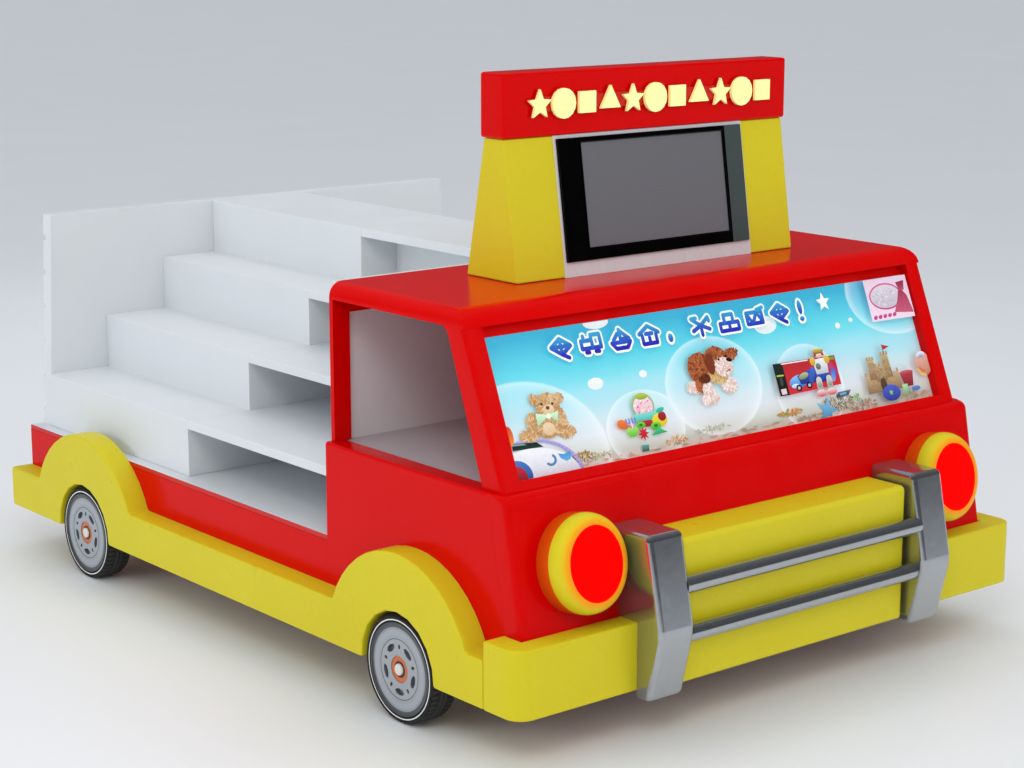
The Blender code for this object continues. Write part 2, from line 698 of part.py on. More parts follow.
# Bull bar and the raised grille panel between its posts.
def seated_outline(reach_low, low, reach_high, high, waist, low_round, high_round):
    """Side outline of a piece that hooks over the bumper and rests on the cab's leaning face."""
    seat = BUMPER_TOP + GAP
    rest = [(-GAP, low, 0), (-GAP, seat, 0), (face_y(seat) - GAP, seat, 0), (face_y(high) - GAP, high, 0)]
    return rounded([(-reach_low, low, low_round), *rest, (-reach_high, high, high_round), *waist])


def add_seated(name, outline, low, high, kind, width):
    """Extrudes a seated outline and rounds its ends where they stand clear of the bumper and cab."""
    def on_free_edge(co):
        seat_line = face_y(co.z) if co.z > BUMPER_TOP + 2 * GAP else 0.0
        on_end = min(abs(co.x - low), abs(co.x - high)) < GAP
        return on_end and co.y - front < seat_line - 2 * GAP

    bm = round_edges(prism_mesh(shifted(outline), "X", low, high), on_free_edge, width)
    add_piece(name, bm, kind, smooth=True)


def add_bull_bar():
    waist = [(-BAR_REACH, BAR_KNEE + BAR_KNEE_HALF, 0), (-BAR_REACH, BAR_KNEE - BAR_KNEE_HALF, 0)]
    outline = seated_outline(BAR_BOTTOM_REACH, BAR_BOTTOM, BAR_TOP_REACH, BAR_TOP, waist, BAR_LOW_ROUND,
                             BAR_HIGH_ROUND)
    for hand, side in hands.items():
        low, high = sorted((side * (BAR_OFFSET - BAR_WIDTH / 2), side * (BAR_OFFSET + BAR_WIDTH / 2)))
        add_seated(f"bar_post_{hand}", outline, low, high, "chrome", BAR_EDGE_ROUND)
    reach = BAR_OFFSET - BAR_WIDTH / 2 - GAP
    for level, height in zip(("upper", "lower"), TUBE_HEIGHTS):
        steps = [(TUBE_RADIUS, -reach), (TUBE_RADIUS, reach)]
        solid_turned(f"bar_tube_{level}", steps, at(-TUBE_REACH, z=height), "chrome", 20)
    outline = seated_outline(GRILLE_REACH, GRILLE_BOTTOM, GRILLE_REACH, GRILLE_TOP, [], GRILLE_LOW_ROUND,
                             GRILLE_HIGH_ROUND)
    reach -= GRILLE_SIDE_CLEARANCE
    add_seated("grille_panel", outline, -reach, reach, "yellow", GRILLE_LOW_ROUND)


# Roof pylon with the television, the red header and its row of plain raised shapes.
def pylon_front(z):
    return PYLON_BASE_Y + (z - ROOF_TOP) * PYLON_FRONT_LEAN


def leaning_frame(y, z):
    """Frame on a face that leans like the pylon's front: X across, Y inwards, Z up the slope."""
    return at(y, PYLON_OFFSET, z) @ Matrix.Rotation(-pylon_tilt, 4, "X")


def pylon_prism(outline, reach):
    """Extrudes a (y, z) outline to both sides of the pylon's middle."""
    return prism_mesh(shifted(outline), "X", PYLON_OFFSET - reach, PYLON_OFFSET + reach)


def add_pylon():
    low, high = ROOF_TOP + GAP, ROOF_TOP + PYLON_HEIGHT
    rear_low, rear_high = PYLON_BASE_Y + PYLON_BASE_DEPTH, pylon_front(high) + PYLON_TOP_DEPTH
    outline = [(pylon_front(low), low), (rear_low, low), (rear_high, high), (pylon_front(high), high)]
    shell = soften(add_piece("pylon_shell", pylon_prism(outline, PYLON_HALF), "yellow"), PYLON_ROUND)
    inner_low, inner_high = low - CUT_SPARE, high - PYLON_WALL
    inside = [(pylon_front(inner_low) + PYLON_WALL, inner_low), (rear_low - PYLON_WALL, inner_low),
              (rear_high - PYLON_WALL, inner_high), (pylon_front(inner_high) + PYLON_WALL, inner_high)]
    hollow = pylon_prism(inside, PYLON_HALF - PYLON_WALL)
    boolean(shell, add_piece("pylon_hollow", hollow, None))

    ahead, deep, over = -CUT_SPARE, TRIM_DEPTH + GAP, high + CUT_SPARE
    niche = [(pylon_front(inner_low) + ahead, inner_low), (pylon_front(inner_low) + deep, inner_low),
             (pylon_front(over) + deep, over), (pylon_front(over) + ahead, over)]
    boolean(shell, add_piece("pylon_niche", pylon_prism(niche, TRIM_HALF + GAP), None))

    base = high + GAP
    header_front = pylon_front(high) - HEADER_OVERHANG
    outline = rectangle(header_front, base, rear_high + HEADER_OVERHANG, high + HEADER_HEIGHT)
    header = add_piece("pylon_header", pylon_prism(outline, PYLON_HALF + HEADER_OVERHANG), "red")
    soften(header, EDGE_ROUND, 3)
    add_sign(at(header_front, PYLON_OFFSET, base))
    add_television(low, high)


def add_television(low, high):
    frame = leaning_frame(PYLON_BASE_Y, ROOF_TOP)
    outline = [(pylon_front(low), low), (pylon_front(low) + TRIM_DEPTH, low),
               (pylon_front(high - GAP) + TRIM_DEPTH, high - GAP), (pylon_front(high - GAP), high - GAP)]
    trim = add_piece("tv_trim", pylon_prism(outline, TRIM_HALF), "white")
    half = TRIM_HALF - TRIM_SIDE
    foot = TRIM_FOOT / cos(pylon_tilt)
    top = PYLON_HEIGHT / cos(pylon_tilt) - TRIM_SIDE
    proud = TRIM_SIDE
    pocket = prism_mesh(rectangle(-2 * proud, foot, TV_DEPTH - proud + GAP, top), "X", -half, half)
    boolean(trim, add_piece("trim_pocket", pocket, None, place=frame))

    tv = prism("tv_housing", rectangle(-proud, foot + GAP, TV_DEPTH - proud, top - GAP), "X",
               -half + GAP, half - GAP, "black", place=frame)
    soften(tv, TV_ROUND)
    screen_low = foot + TV_SCREEN_BOTTOM
    screen_high = screen_low + TV_SCREEN_HEIGHT
    seat = 1.5 * TV_SCREEN_THICKNESS
    recess = prism_mesh(rectangle(-2 * proud, screen_low, seat - proud, screen_high), "X",
                        -TV_SCREEN_HALF, TV_SCREEN_HALF)
    boolean(tv, add_piece("screen_recess", recess, None, place=frame))
    glass = rectangle(seat - proud - GAP - TV_SCREEN_THICKNESS, screen_low + GAP, seat - proud - GAP,
                      screen_high - GAP)
    prism("tv_screen", glass, "X", -TV_SCREEN_HALF + GAP, TV_SCREEN_HALF - GAP, "screen", place=frame)


def sign_shape(index):
    """Outline of one raised shape: star, disc, square or triangle in turn."""
    kinds = (10, 16, 4, 3)
    points = kinds[index % len(kinds)]
    outline = []
    for i in range(points):
        radius = SIGN_RADIUS
        if points == 10 and i % 2:
            radius *= STAR_WAIST
        angle = pi / 2 + 2 * pi * i / points + (pi / 4 if points == 4 else 0)
        outline.append((radius * cos(angle), radius * sin(angle)))
    return outline


def add_sign(place):
    middle = (HEADER_HEIGHT - GAP) / 2
    reach = SIGN_PITCH * (SIGN_SHAPES - 1) / 2
    rail_half = SIGN_RAIL_HEIGHT / 2
    rail = prism("sign_row", rectangle(-reach, middle - rail_half, reach, middle + rail_half), "Y",
                 -GAP - SIGN_RAIL_DEPTH, -GAP, "cream", place=place)
    for index in range(SIGN_SHAPES):
        x = (index - (SIGN_SHAPES - 1) / 2) * SIGN_PITCH
        outline = [(x + a, middle + b) for a, b in sign_shape(index)]
        bm = prism_mesh(outline, "Y", -GAP - SIGN_DEPTH, -2 * GAP)
        boolean(rail, add_piece(f"sign_tool_{index}", bm, None, place=place), "UNION")


add_base()
add_bed()
add_display()
add_cab()
add_light_box()
add_bull_bar()
add_pylon()
for end, station in axle_stations.items():
    add_axle(end, station)
    for hand, side in hands.items():
        add_wheel(end, station, hand, side)
for hand, side in hands.items():
    add_headlamp(hand, side)
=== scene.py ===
import math
import random

import bmesh
import bpy
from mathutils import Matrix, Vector


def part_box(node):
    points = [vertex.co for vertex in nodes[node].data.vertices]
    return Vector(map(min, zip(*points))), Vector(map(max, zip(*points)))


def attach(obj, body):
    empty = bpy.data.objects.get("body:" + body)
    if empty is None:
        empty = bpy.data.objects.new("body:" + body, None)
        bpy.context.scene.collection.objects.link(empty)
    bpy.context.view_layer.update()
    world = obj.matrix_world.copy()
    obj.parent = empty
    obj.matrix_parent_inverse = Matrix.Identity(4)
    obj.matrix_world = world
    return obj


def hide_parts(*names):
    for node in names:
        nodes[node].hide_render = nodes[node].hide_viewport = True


# Toy-shop kiosk in the shape of a small truck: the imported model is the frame, and this script adds its
# finishes, its tyres, lamps, bull-bar tubes, poster print and small fittings, the studio and the camera.
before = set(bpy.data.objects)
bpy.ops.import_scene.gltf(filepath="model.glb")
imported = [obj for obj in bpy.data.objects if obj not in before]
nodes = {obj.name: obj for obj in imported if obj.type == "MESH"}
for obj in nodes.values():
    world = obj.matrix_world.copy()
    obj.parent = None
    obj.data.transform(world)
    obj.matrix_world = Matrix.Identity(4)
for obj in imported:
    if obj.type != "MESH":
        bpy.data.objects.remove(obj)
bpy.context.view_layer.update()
print("frame loaded:", len(nodes), "nodes")


def hexColour(code):
    parts = [int(code[i:i + 2], 16) / 255 for i in (1, 3, 5)]
    return tuple(p / 12.92 if p <= 0.04045 else ((p + 0.055) / 1.055) ** 2.4 for p in parts) + (1.0,)


def liveOutput(source):
    # a node stands for the first output that its settings leave on, and a socket for itself
    if isinstance(source, bpy.types.Node):
        return next(socket for socket in source.outputs if socket.enabled)
    return source


def addNode(tree, kind, inputs=None, stops=None, **settings):
    # each input is joined to a node or a socket, or set to a value or a hex colour
    node = tree.nodes.new(kind)
    for name, value in settings.items():
        setattr(node, name, value)
    for key, value in (inputs or {}).items():
        if isinstance(value, (bpy.types.Node, bpy.types.NodeSocket)):
            tree.links.new(liveOutput(value), node.inputs[key])
        else:
            coded = isinstance(value, str) and value.startswith("#")
            node.inputs[key].default_value = hexColour(value) if coded else value
    if stops:
        ramp = node.color_ramp.elements
        while len(ramp) < len(stops):
            ramp.new(1.0)
        for element, (place, code) in zip(ramp, stops):
            element.position = place
            element.color = hexColour(code)
    return node


def startMaterial(name, shaderValues):
    # returns the material, its node tree and the object's own coordinates, in metres
    material = bpy.data.materials.new(name)
    material.use_nodes = True
    tree = material.node_tree
    for key, value in shaderValues.items():
        tree.nodes["Principled BSDF"].inputs[key].default_value = value
    return material, tree, addNode(tree, "ShaderNodeTexCoord").outputs["Object"]


def finishMaterial(material, colour, rough=None, bump=None, glow=None):
    # joins a finish to its shader; what isn't given keeps its set value
    tree = material.node_tree
    ends = {"Base Color": colour, "Roughness": rough, "Normal": bump, "Emission Color": glow}
    for key, source in ends.items():
        if source:
            tree.links.new(liveOutput(source), tree.nodes["Principled BSDF"].inputs[key])
    return material


def mixPast(tree, colour, point, axis, edge, code):
    # another colour where the point lies past the edge along one axis
    along = addNode(tree, "ShaderNodeSeparateXYZ", {"Vector": point}).outputs[axis]
    past = addNode(tree, "ShaderNodeMath", {0: along, 1: edge}, operation="GREATER_THAN")
    return addNode(tree, "ShaderNodeMix", {0: past, 6: colour, 7: code}, data_type="RGBA")


def mm(size):
    # pattern scale whose features are about this many millimetres wide
    return 1000.0 / size


# finishes
gelCoatLook = {
    "signalRed": {"base": "#DA0202", "deep": "#D10101", "pale": "#E20B09", "roughness": (0.14, 0.24),
                  "peelMm": 9, "peelDepth": 0.0008, "mottleMm": 15, "mottle": 0.3, "shine": 0.09},
    "sunYellow": {"base": "#DACC22", "deep": "#D1C220", "pale": "#E0D33C", "roughness": (0.26, 0.40),
                  "peelMm": 10, "peelDepth": 0.0006, "mottleMm": 22, "mottle": 0.2, "shine": 0.18},
    "overspray": 0.12,
}


def gelCoat(name, span=None, stops=None):
    # gel-coated fibreglass, sprayed and polished: even colour, soft orange peel, glossy skin
    look = gelCoatLook[name]
    material, tree, point = startMaterial(name + ("Blend" if stops else "GelCoat"),
                                          {"Specular IOR Level": look["shine"]})
    drift = addNode(tree, "ShaderNodeTexNoise", {"Vector": point, "Scale": mm(420), "Detail": 3.0})
    body = addNode(tree, "ShaderNodeMix", {0: drift, 6: look["deep"], 7: look["base"]}, data_type="RGBA")
    mottle = addNode(tree, "ShaderNodeTexNoise", {"Vector": point, "Scale": mm(look["mottleMm"]),
                                                  "Detail": 5.0, "Roughness": 0.65})
    spread = addNode(tree, "ShaderNodeMapRange", {"Value": mottle, "From Min": 0.48, "From Max": 0.72,
                                                  "To Max": look["mottle"]})
    colour = addNode(tree, "ShaderNodeMix", {0: spread, 6: body, 7: look["pale"]}, data_type="RGBA")
    if stops:  # bands of colour over a span (its foot, its way and its length): two-tone spray, with painted reflection and painted light in the orange stops
        foot, way, length = span
        depth = addNode(tree, "ShaderNodeVectorMath", {0: point, 1: way}, operation="DOT_PRODUCT")
        share = addNode(tree, "ShaderNodeMapRange", {"Value": depth, "From Min": foot.dot(way),
                                                     "From Max": foot.dot(way) + length})
        bands = addNode(tree, "ShaderNodeValToRGB", {"Fac": share}, stops=stops)
        colour = addNode(tree, "ShaderNodeMix", {0: gelCoatLook["overspray"], 6: bands, 7: colour},
                         data_type="RGBA")
    haze = addNode(tree, "ShaderNodeTexNoise", {"Vector": point, "Scale": mm(90), "Detail": 4.0})
    glossiest, dullest = look["roughness"]
    rough = addNode(tree, "ShaderNodeMapRange", {"Value": haze, "From Min": 0.3, "From Max": 0.7,
                                                 "To Min": glossiest, "To Max": dullest})
    peel = addNode(tree, "ShaderNodeTexNoise", {"Vector": point, "Scale": mm(look["peelMm"]), "Detail": 2.0})
    bump = addNode(tree, "ShaderNodeBump", {"Height": peel, "Distance": look["peelDepth"], "Strength": 0.35})
    return finishMaterial(material, colour, rough, bump)


melamineLook = {
    "white": {"base": "#E0E4E6", "shade": "#D8DCDF", "roughness": (0.34, 0.52)},
    "grey": {"base": "#C2C5C8", "shade": "#B6B9BD", "roughness": (0.42, 0.60)},
    "deck": {"base": "#E0E4E6", "shade": "#D7DBDE", "roughness": (0.30, 0.48)},
    "trim": {"base": "#D8D4D4", "shade": "#D0CCCD", "roughness": (0.17, 0.35)},
}


def melamine(name, edgeCode=None):
    # melamine-faced board: flat, faintly pebbled, and slightly duller where it is handled
    look = melamineLook[name]
    material, tree, point = startMaterial(name + "Melamine", {"Specular IOR Level": 0.45})
    cloud = addNode(tree, "ShaderNodeTexNoise", {"Vector": point, "Scale": mm(350), "Detail": 4.0})
    colour = addNode(tree, "ShaderNodeMix", {0: cloud, 6: look["shade"], 7: look["base"]}, data_type="RGBA")
    if edgeCode:  # the board's edges are lipped in another colour
        facingWay = addNode(tree, "ShaderNodeNewGeometry").outputs["True Normal"]
        upward = addNode(tree, "ShaderNodeSeparateXYZ", {"Vector": facingWay}).outputs["Z"]
        onTop = addNode(tree, "ShaderNodeMath", {0: upward, 1: 0.9}, operation="GREATER_THAN")
        colour = addNode(tree, "ShaderNodeMix", {0: onTop, 6: edgeCode, 7: colour}, data_type="RGBA")
    wipe = addNode(tree, "ShaderNodeTexNoise", {"Vector": point, "Scale": mm(160), "Detail": 5.0,
                                                "Distortion": 0.8})
    glossiest, dullest = look["roughness"]
    rough = addNode(tree, "ShaderNodeMapRange", {"Value": wipe, "To Min": glossiest, "To Max": dullest})
    pebble = addNode(tree, "ShaderNodeTexNoise", {"Vector": point, "Scale": mm(2.5), "Detail": 1.0})
    bump = addNode(tree, "ShaderNodeBump", {"Height": pebble, "Distance": 0.0002, "Strength": 0.12})
    return finishMaterial(material, colour, rough, bump)


def birchPlywood():
    # rotary-cut birch ply, unpainted: long wavy grain, pale with darker late wood
    material, tree, point = startMaterial("birchPlywood", {"Roughness": 0.65})
    stretched = addNode(tree, "ShaderNodeMapping", {"Vector": point, "Scale": (1.0, 0.06, 1.0)})
    grain = addNode(tree, "ShaderNodeTexWave", {"Vector": stretched, "Scale": mm(110), "Distortion": 6.0,
                                                "Detail": 3.0, "Detail Scale": 1.6})
    colour = addNode(tree, "ShaderNodeValToRGB", {"Fac": grain.outputs["Fac"]},
                     stops=[(0.0, "#B08A5E"), (0.5, "#C7A375"), (1.0, "#D5B68A")])
    fibre = addNode(tree, "ShaderNodeTexNoise", {"Vector": stretched, "Scale": mm(3)})
    bump = addNode(tree, "ShaderNodeBump", {"Height": fibre, "Distance": 0.0004, "Strength": 0.3})
    return finishMaterial(material, colour, bump=bump)


def turnedSteel():
    # lathe-turned mild steel bar: fine rings round the bar and a little oil haze
    material, tree, point = startMaterial("turnedSteel", {"Metallic": 1.0})
    haze = addNode(tree, "ShaderNodeTexNoise", {"Vector": point, "Scale": mm(60), "Detail": 4.0})
    colour = addNode(tree, "ShaderNodeValToRGB", {"Fac": haze},
                     stops=[(0.3, "#8C8F92"), (0.6, "#A9ACAE"), (0.8, "#97897A")])
    rough = addNode(tree, "ShaderNodeMapRange", {"Value": haze, "To Min": 0.28, "To Max": 0.5})
    cut = addNode(tree, "ShaderNodeTexWave", {"Vector": point, "Scale": mm(8)}, bands_direction="X")
    rings = cut.outputs["Fac"]
    bump = addNode(tree, "ShaderNodeBump", {"Height": rings, "Distance": 0.0002, "Strength": 0.2})
    return finishMaterial(material, colour, rough, bump)


def chromePlate():
    # bright chrome over polished steel: a mirror, with faint wiping smears that only dull it in places
    material, tree, point = startMaterial("chromePlate", {"Metallic": 0.90})
    smear = addNode(tree, "ShaderNodeTexNoise", {"Vector": point, "Scale": mm(70), "Detail": 6.0,
                                                 "Distortion": 1.5})
    rough = addNode(tree, "ShaderNodeMapRange", {"Value": smear, "From Min": 0.35, "From Max": 0.75,
                                                 "To Min": 0.12, "To Max": 0.17})
    colour = addNode(tree, "ShaderNodeMix", {0: smear, 6: "#B6B9BC", 7: "#AEB1B5"}, data_type="RGBA")
    ripple = addNode(tree, "ShaderNodeTexNoise", {"Vector": point, "Scale": mm(45), "Detail": 1.0})
    bump = addNode(tree, "ShaderNodeBump", {"Height": ripple, "Distance": 0.0006, "Strength": 0.15})
    return finishMaterial(material, colour, rough, bump)


def hubBands(tree, point, centre, radius, stops):
    # rings of colour by share of a radius about the axle, and the spoke vector they are measured along
    fromHub = addNode(tree, "ShaderNodeVectorMath", {0: point, 1: centre}, operation="SUBTRACT")
    spoke = addNode(tree, "ShaderNodeVectorMath", {0: fromHub, 1: (0.0, 1.0, 1.0)}, operation="MULTIPLY")
    reach = addNode(tree, "ShaderNodeVectorMath", {0: spoke}, operation="LENGTH")
    share = addNode(tree, "ShaderNodeMath", {0: reach, 1: radius}, operation="DIVIDE")
    bands = addNode(tree, "ShaderNodeValToRGB", {"Fac": share}, stops=stops)
    bands.color_ramp.interpolation = "CONSTANT"
    return bands, spoke


def tyreRubber(centre, radius):
    # moulded tyre rubber: charcoal, a thin white line on the sidewall, and dust ground into the tread
    material, tree, point = startMaterial("tyreRubber", {"Roughness": 0.72, "Specular IOR Level": 0.35})
    bands, _ = hubBands(tree, point, centre, radius,
                        [(0.0, "#202022"), (tyreShape["lineInner"], "#E9E9E6"),
                         (tyreShape["lineOuter"], "#19191A"), (0.945, "#222223"), (0.985, "#39383A")])
    dust = addNode(tree, "ShaderNodeTexNoise", {"Vector": point, "Scale": mm(25), "Detail": 6.0,
                                                "Roughness": 0.7})
    dusty = addNode(tree, "ShaderNodeMapRange", {"Value": dust, "From Min": 0.5, "From Max": 0.8,
                                                 "To Max": 0.25})
    colour = addNode(tree, "ShaderNodeMix", {0: dusty, 6: bands, 7: "#5A5854"}, data_type="RGBA")
    grit = addNode(tree, "ShaderNodeTexNoise", {"Vector": point, "Scale": mm(3), "Detail": 3.0})
    bump = addNode(tree, "ShaderNodeBump", {"Height": grit, "Distance": 0.0004, "Strength": 0.35})
    return finishMaterial(material, colour, bump=bump)


def wheelEnamel(centre, radius, faceDepth):
    # stove enamel on a pressed disc: pale blue-grey and a dark rim band, with painted shade on the slots and
    # on every face set back from the front; bands run by radius
    material, tree, point = startMaterial("wheelEnamel", {"Coat Weight": 0.3, "Coat Roughness": 0.15,
                                                          "Metallic": 0.1})
    bands, spoke = hubBands(tree, point, centre, radius,
                            [(0.0, "#92979E"), (0.30, "#A0A5AC"), (0.636, "#565B61"), (0.652, "#9CA1A8"),
                             (0.72, "#A2A7AE"), (0.84, "#92969D"), (0.888, "#474B50")])
    across = addNode(tree, "ShaderNodeSeparateXYZ", {"Vector": point}).outputs["X"]
    side = addNode(tree, "ShaderNodeMath", {0: across}, operation="ABSOLUTE")
    # painted shade: every face set back from the disc's face, slot floors and the disc's back alike, is
    # painted a darker grey
    paintedShadeSunk = addNode(tree, "ShaderNodeMath", {0: side, 1: faceDepth}, operation="LESS_THAN")
    colour = addNode(tree, "ShaderNodeMix", {0: paintedShadeSunk, 6: bands, 7: "#6E7479"}, data_type="RGBA")
    scuff = addNode(tree, "ShaderNodeTexNoise", {"Vector": point, "Scale": mm(18), "Detail": 6.0})
    rough = addNode(tree, "ShaderNodeMapRange", {"Value": scuff, "To Min": 0.28, "To Max": 0.5})
    spin = addNode(tree, "ShaderNodeTexWave", {"Vector": spoke, "Scale": mm(9), "Distortion": 0.4},
                   wave_type="RINGS", rings_direction="SPHERICAL").outputs["Fac"]
    bump = addNode(tree, "ShaderNodeBump", {"Height": spin, "Distance": 0.0006, "Strength": 0.25})
    return finishMaterial(material, colour, rough, bump)


mouldedLook = {
    "bearingOrange": {"base": "#D8743A", "second": "#B9582A", "grainMm": 12, "roughness": (0.25, 0.45)},
    "bezelBlack": {"base": "#020203", "second": "#060607", "grainMm": 60, "roughness": (0.10, 0.24),
                   "shine": 0.1},
    "capWhite": {"base": "#E8E6E0", "second": "#D4D2CC", "grainMm": 8, "roughness": (0.3, 0.45)},
    "inletBlack": {"base": "#1A1A1C", "second": "#262628", "grainMm": 4, "roughness": (0.4, 0.6)},
    "creamAcrylic": {"base": "#FFFFB0", "second": "#FFFBA0", "grainMm": 50, "roughness": (0.22, 0.34)},
}


def moulded(name, paintedShadePast=None):
    # injection-moulded or cast plastic: nearly even colour, fine flow marks and a slightly varied gloss
    look = mouldedLook[name]
    material, tree, point = startMaterial(name, {"Specular IOR Level": look.get("shine", 0.5)})
    flow = addNode(tree, "ShaderNodeTexNoise", {"Vector": point, "Scale": mm(look["grainMm"]), "Detail": 4.0})
    colour = addNode(tree, "ShaderNodeMix", {0: flow, 6: look["base"], 7: look["second"]}, data_type="RGBA")
    # past the given edge the colour turns grey-green: painted shade, not the plastic's own colour
    if paintedShadePast:
        colour = mixPast(tree, colour, point, "X", paintedShadePast, "#46504E")
    glossiest, dullest = look["roughness"]
    rough = addNode(tree, "ShaderNodeMapRange", {"Value": flow, "To Min": glossiest, "To Max": dullest})
    grain = addNode(tree, "ShaderNodeTexNoise", {"Vector": point, "Scale": mm(2), "Detail": 2.0})
    bump = addNode(tree, "ShaderNodeBump", {"Height": grain, "Distance": 0.0001, "Strength": 0.15})
    return finishMaterial(material, colour, rough, bump)


def lampAcrylic():
    # cast red acrylic lit from behind, so it glows evenly; fine ribs run across its back
    material, tree, point = startMaterial("lampAcrylic", {"Roughness": 0.25, "Specular IOR Level": 0.02,
                                                          "Emission Strength": 0.8})
    wave = addNode(tree, "ShaderNodeTexWave", {"Vector": point, "Scale": mm(14)}, bands_direction="X")
    ribs = wave.outputs["Fac"]
    glow = addNode(tree, "ShaderNodeMix", {0: ribs, 6: "#F40000", 7: "#FF0200"}, data_type="RGBA")
    bump = addNode(tree, "ShaderNodeBump", {"Height": ribs, "Distance": 0.0003, "Strength": 0.08})
    return finishMaterial(material, glow, bump=bump, glow=glow)


def screenPanel():
    # liquid-crystal panel, switched off: mid grey, matt, with its rows drawn coarse enough to show
    material, tree, point = startMaterial("screenPanel", {"IOR": 1.5})
    rows = addNode(tree, "ShaderNodeTexWave", {"Vector": point, "Scale": mm(26)}, bands_direction="Z")
    haze = addNode(tree, "ShaderNodeTexNoise", {"Vector": point, "Scale": mm(6), "Detail": 3.0})
    mixed = addNode(tree, "ShaderNodeMath", {0: rows.outputs["Fac"], 1: haze}, operation="MULTIPLY")
    colour = addNode(tree, "ShaderNodeValToRGB", {"Fac": mixed}, stops=[(0.0, "#66666A"), (1.0, "#737378")])
    rough = addNode(tree, "ShaderNodeMapRange", {"Value": haze, "To Min": 0.30, "To Max": 0.42})
    return finishMaterial(material, colour, rough)


def anodisedStrip():
    # clear-anodised aluminium extrusion: satin, with die lines along its length
    material, tree, point = startMaterial("anodisedStrip", {"Metallic": 1.0})
    along = addNode(tree, "ShaderNodeMapping", {"Vector": point, "Scale": (0.02, 1.0, 1.0)})
    lines = addNode(tree, "ShaderNodeTexNoise", {"Vector": along, "Scale": mm(1.5)})
    colour = addNode(tree, "ShaderNodeMix", {0: lines, 6: "#B4B7BA", 7: "#CDD0D2"}, data_type="RGBA")
    rough = addNode(tree, "ShaderNodeMapRange", {"Value": lines, "To Min": 0.3, "To Max": 0.5})
    return finishMaterial(material, colour, rough)


# bubbles are in centimetres on the poster, middle and half sizes; "skin" is how fast they thicken to the rim
posterLook = {"cloudMm": 260, "tall": 47.0, "rim": 0.035, "skin": 9.0, "milk": 0.40, "veil": 0.07,
              "bubbles": ((8, 5, 34, 26), (60, 9, 17, 12.8), (95, 19, 22, 16.8), (140, 12, 17, 15.6),
                          (195, 42, 24.7, 16.3)),
              "sky": [(0.0, "#CDB8AC"), (0.065, "#B8B9AE"), (0.13, "#C9CDC6"), (0.21, "#D3D9DF"),
                      (0.32, "#C6DCE2"), (0.43, "#ABDAE4"), (0.53, "#9BDAE6"), (0.62, "#77D5E2"),
                      (0.71, "#5CCFDF"), (0.94, "#36AED0")],
              "filmThick": 0.006, "margin": 0.15, "inkLift": 0.0003, "inkStep": 0.000008}


def posterFilm(low, high):
    # backlit printed film behind clear acrylic: sky over a misty beach, with soap bubbles drifting across it
    s = posterLook
    material, tree, point = startMaterial("posterFilm", {"Roughness": 0.35, "Coat Weight": 0.3,
                                                         "Coat Roughness": 0.05, "Emission Strength": 0.22})
    drift = addNode(tree, "ShaderNodeTexNoise", {"Vector": point, "Scale": mm(s["cloudMm"]), "Detail": 5.0,
                                                 "Roughness": 0.6})
    height = addNode(tree, "ShaderNodeSeparateXYZ", {"Vector": point}).outputs["Z"]
    rise = addNode(tree, "ShaderNodeMapRange", {"Value": height, "From Min": low.z, "From Max": high.z})
    sway = addNode(tree, "ShaderNodeMapRange", {"Value": drift, "To Min": -0.05, "To Max": 0.05})
    level = addNode(tree, "ShaderNodeMath", {0: rise, 1: sway})
    sky = addNode(tree, "ShaderNodeValToRGB", {"Fac": level}, stops=s["sky"])
    milk = 0.0
    for x, y, rx, ry in s["bubbles"]:
        scale = (100.0 / rx, 0.0, s["tall"] / ry / (high.z - low.z))
        shift = (-low.x * scale[0] - x / rx, 0.0, -low.z * scale[2] - y / ry)
        local = addNode(tree, "ShaderNodeVectorMath", {0: point, 1: scale, 2: shift},
                        operation="MULTIPLY_ADD")
        reach = addNode(tree, "ShaderNodeVectorMath", {0: local}, operation="LENGTH")
        rim = addNode(tree, "ShaderNodeMapRange", {"Value": reach, "From Min": 1.0, "To Min": 1.0,
                                                   "From Max": 1.0 + s["rim"], "To Max": 0.0})
        skin = addNode(tree, "ShaderNodeMath", {0: reach, 1: s["skin"]}, operation="POWER")
        veil = addNode(tree, "ShaderNodeMath", {0: skin, 1: s["milk"], 2: s["veil"]},
                       operation="MULTIPLY_ADD")
        shown = addNode(tree, "ShaderNodeMath", {0: veil, 1: rim}, operation="MULTIPLY")
        milk = addNode(tree, "ShaderNodeMath", {0: shown, 1: milk}, operation="MAXIMUM")
    colour = addNode(tree, "ShaderNodeMix", {0: milk, 6: sky, 7: "#F2F8FB"}, data_type="RGBA")
    return finishMaterial(material, colour, glow=colour)


def printInk():
    # screen-printed inks on the film: each shape's colour is stored in the mesh, over a fine printed grain
    material, tree, point = startMaterial("printInk", {"Roughness": 0.4, "Coat Weight": 0.5,
                                                       "Coat Roughness": 0.05, "Emission Strength": 0.16})
    ink = addNode(tree, "ShaderNodeAttribute", attribute_name="ink")
    grain = addNode(tree, "ShaderNodeTexNoise", {"Vector": point, "Scale": mm(5), "Detail": 4.0})
    lift = addNode(tree, "ShaderNodeMapRange", {"Value": grain, "To Min": 0.78, "To Max": 1.18})
    colour = addNode(tree, "ShaderNodeVectorMath", {0: ink, "Scale": lift}, operation="SCALE")
    return finishMaterial(material, colour, glow=colour)


signLook = {"proud": 0.0125, "glow": 0.18, "rail": "#CC0404"}


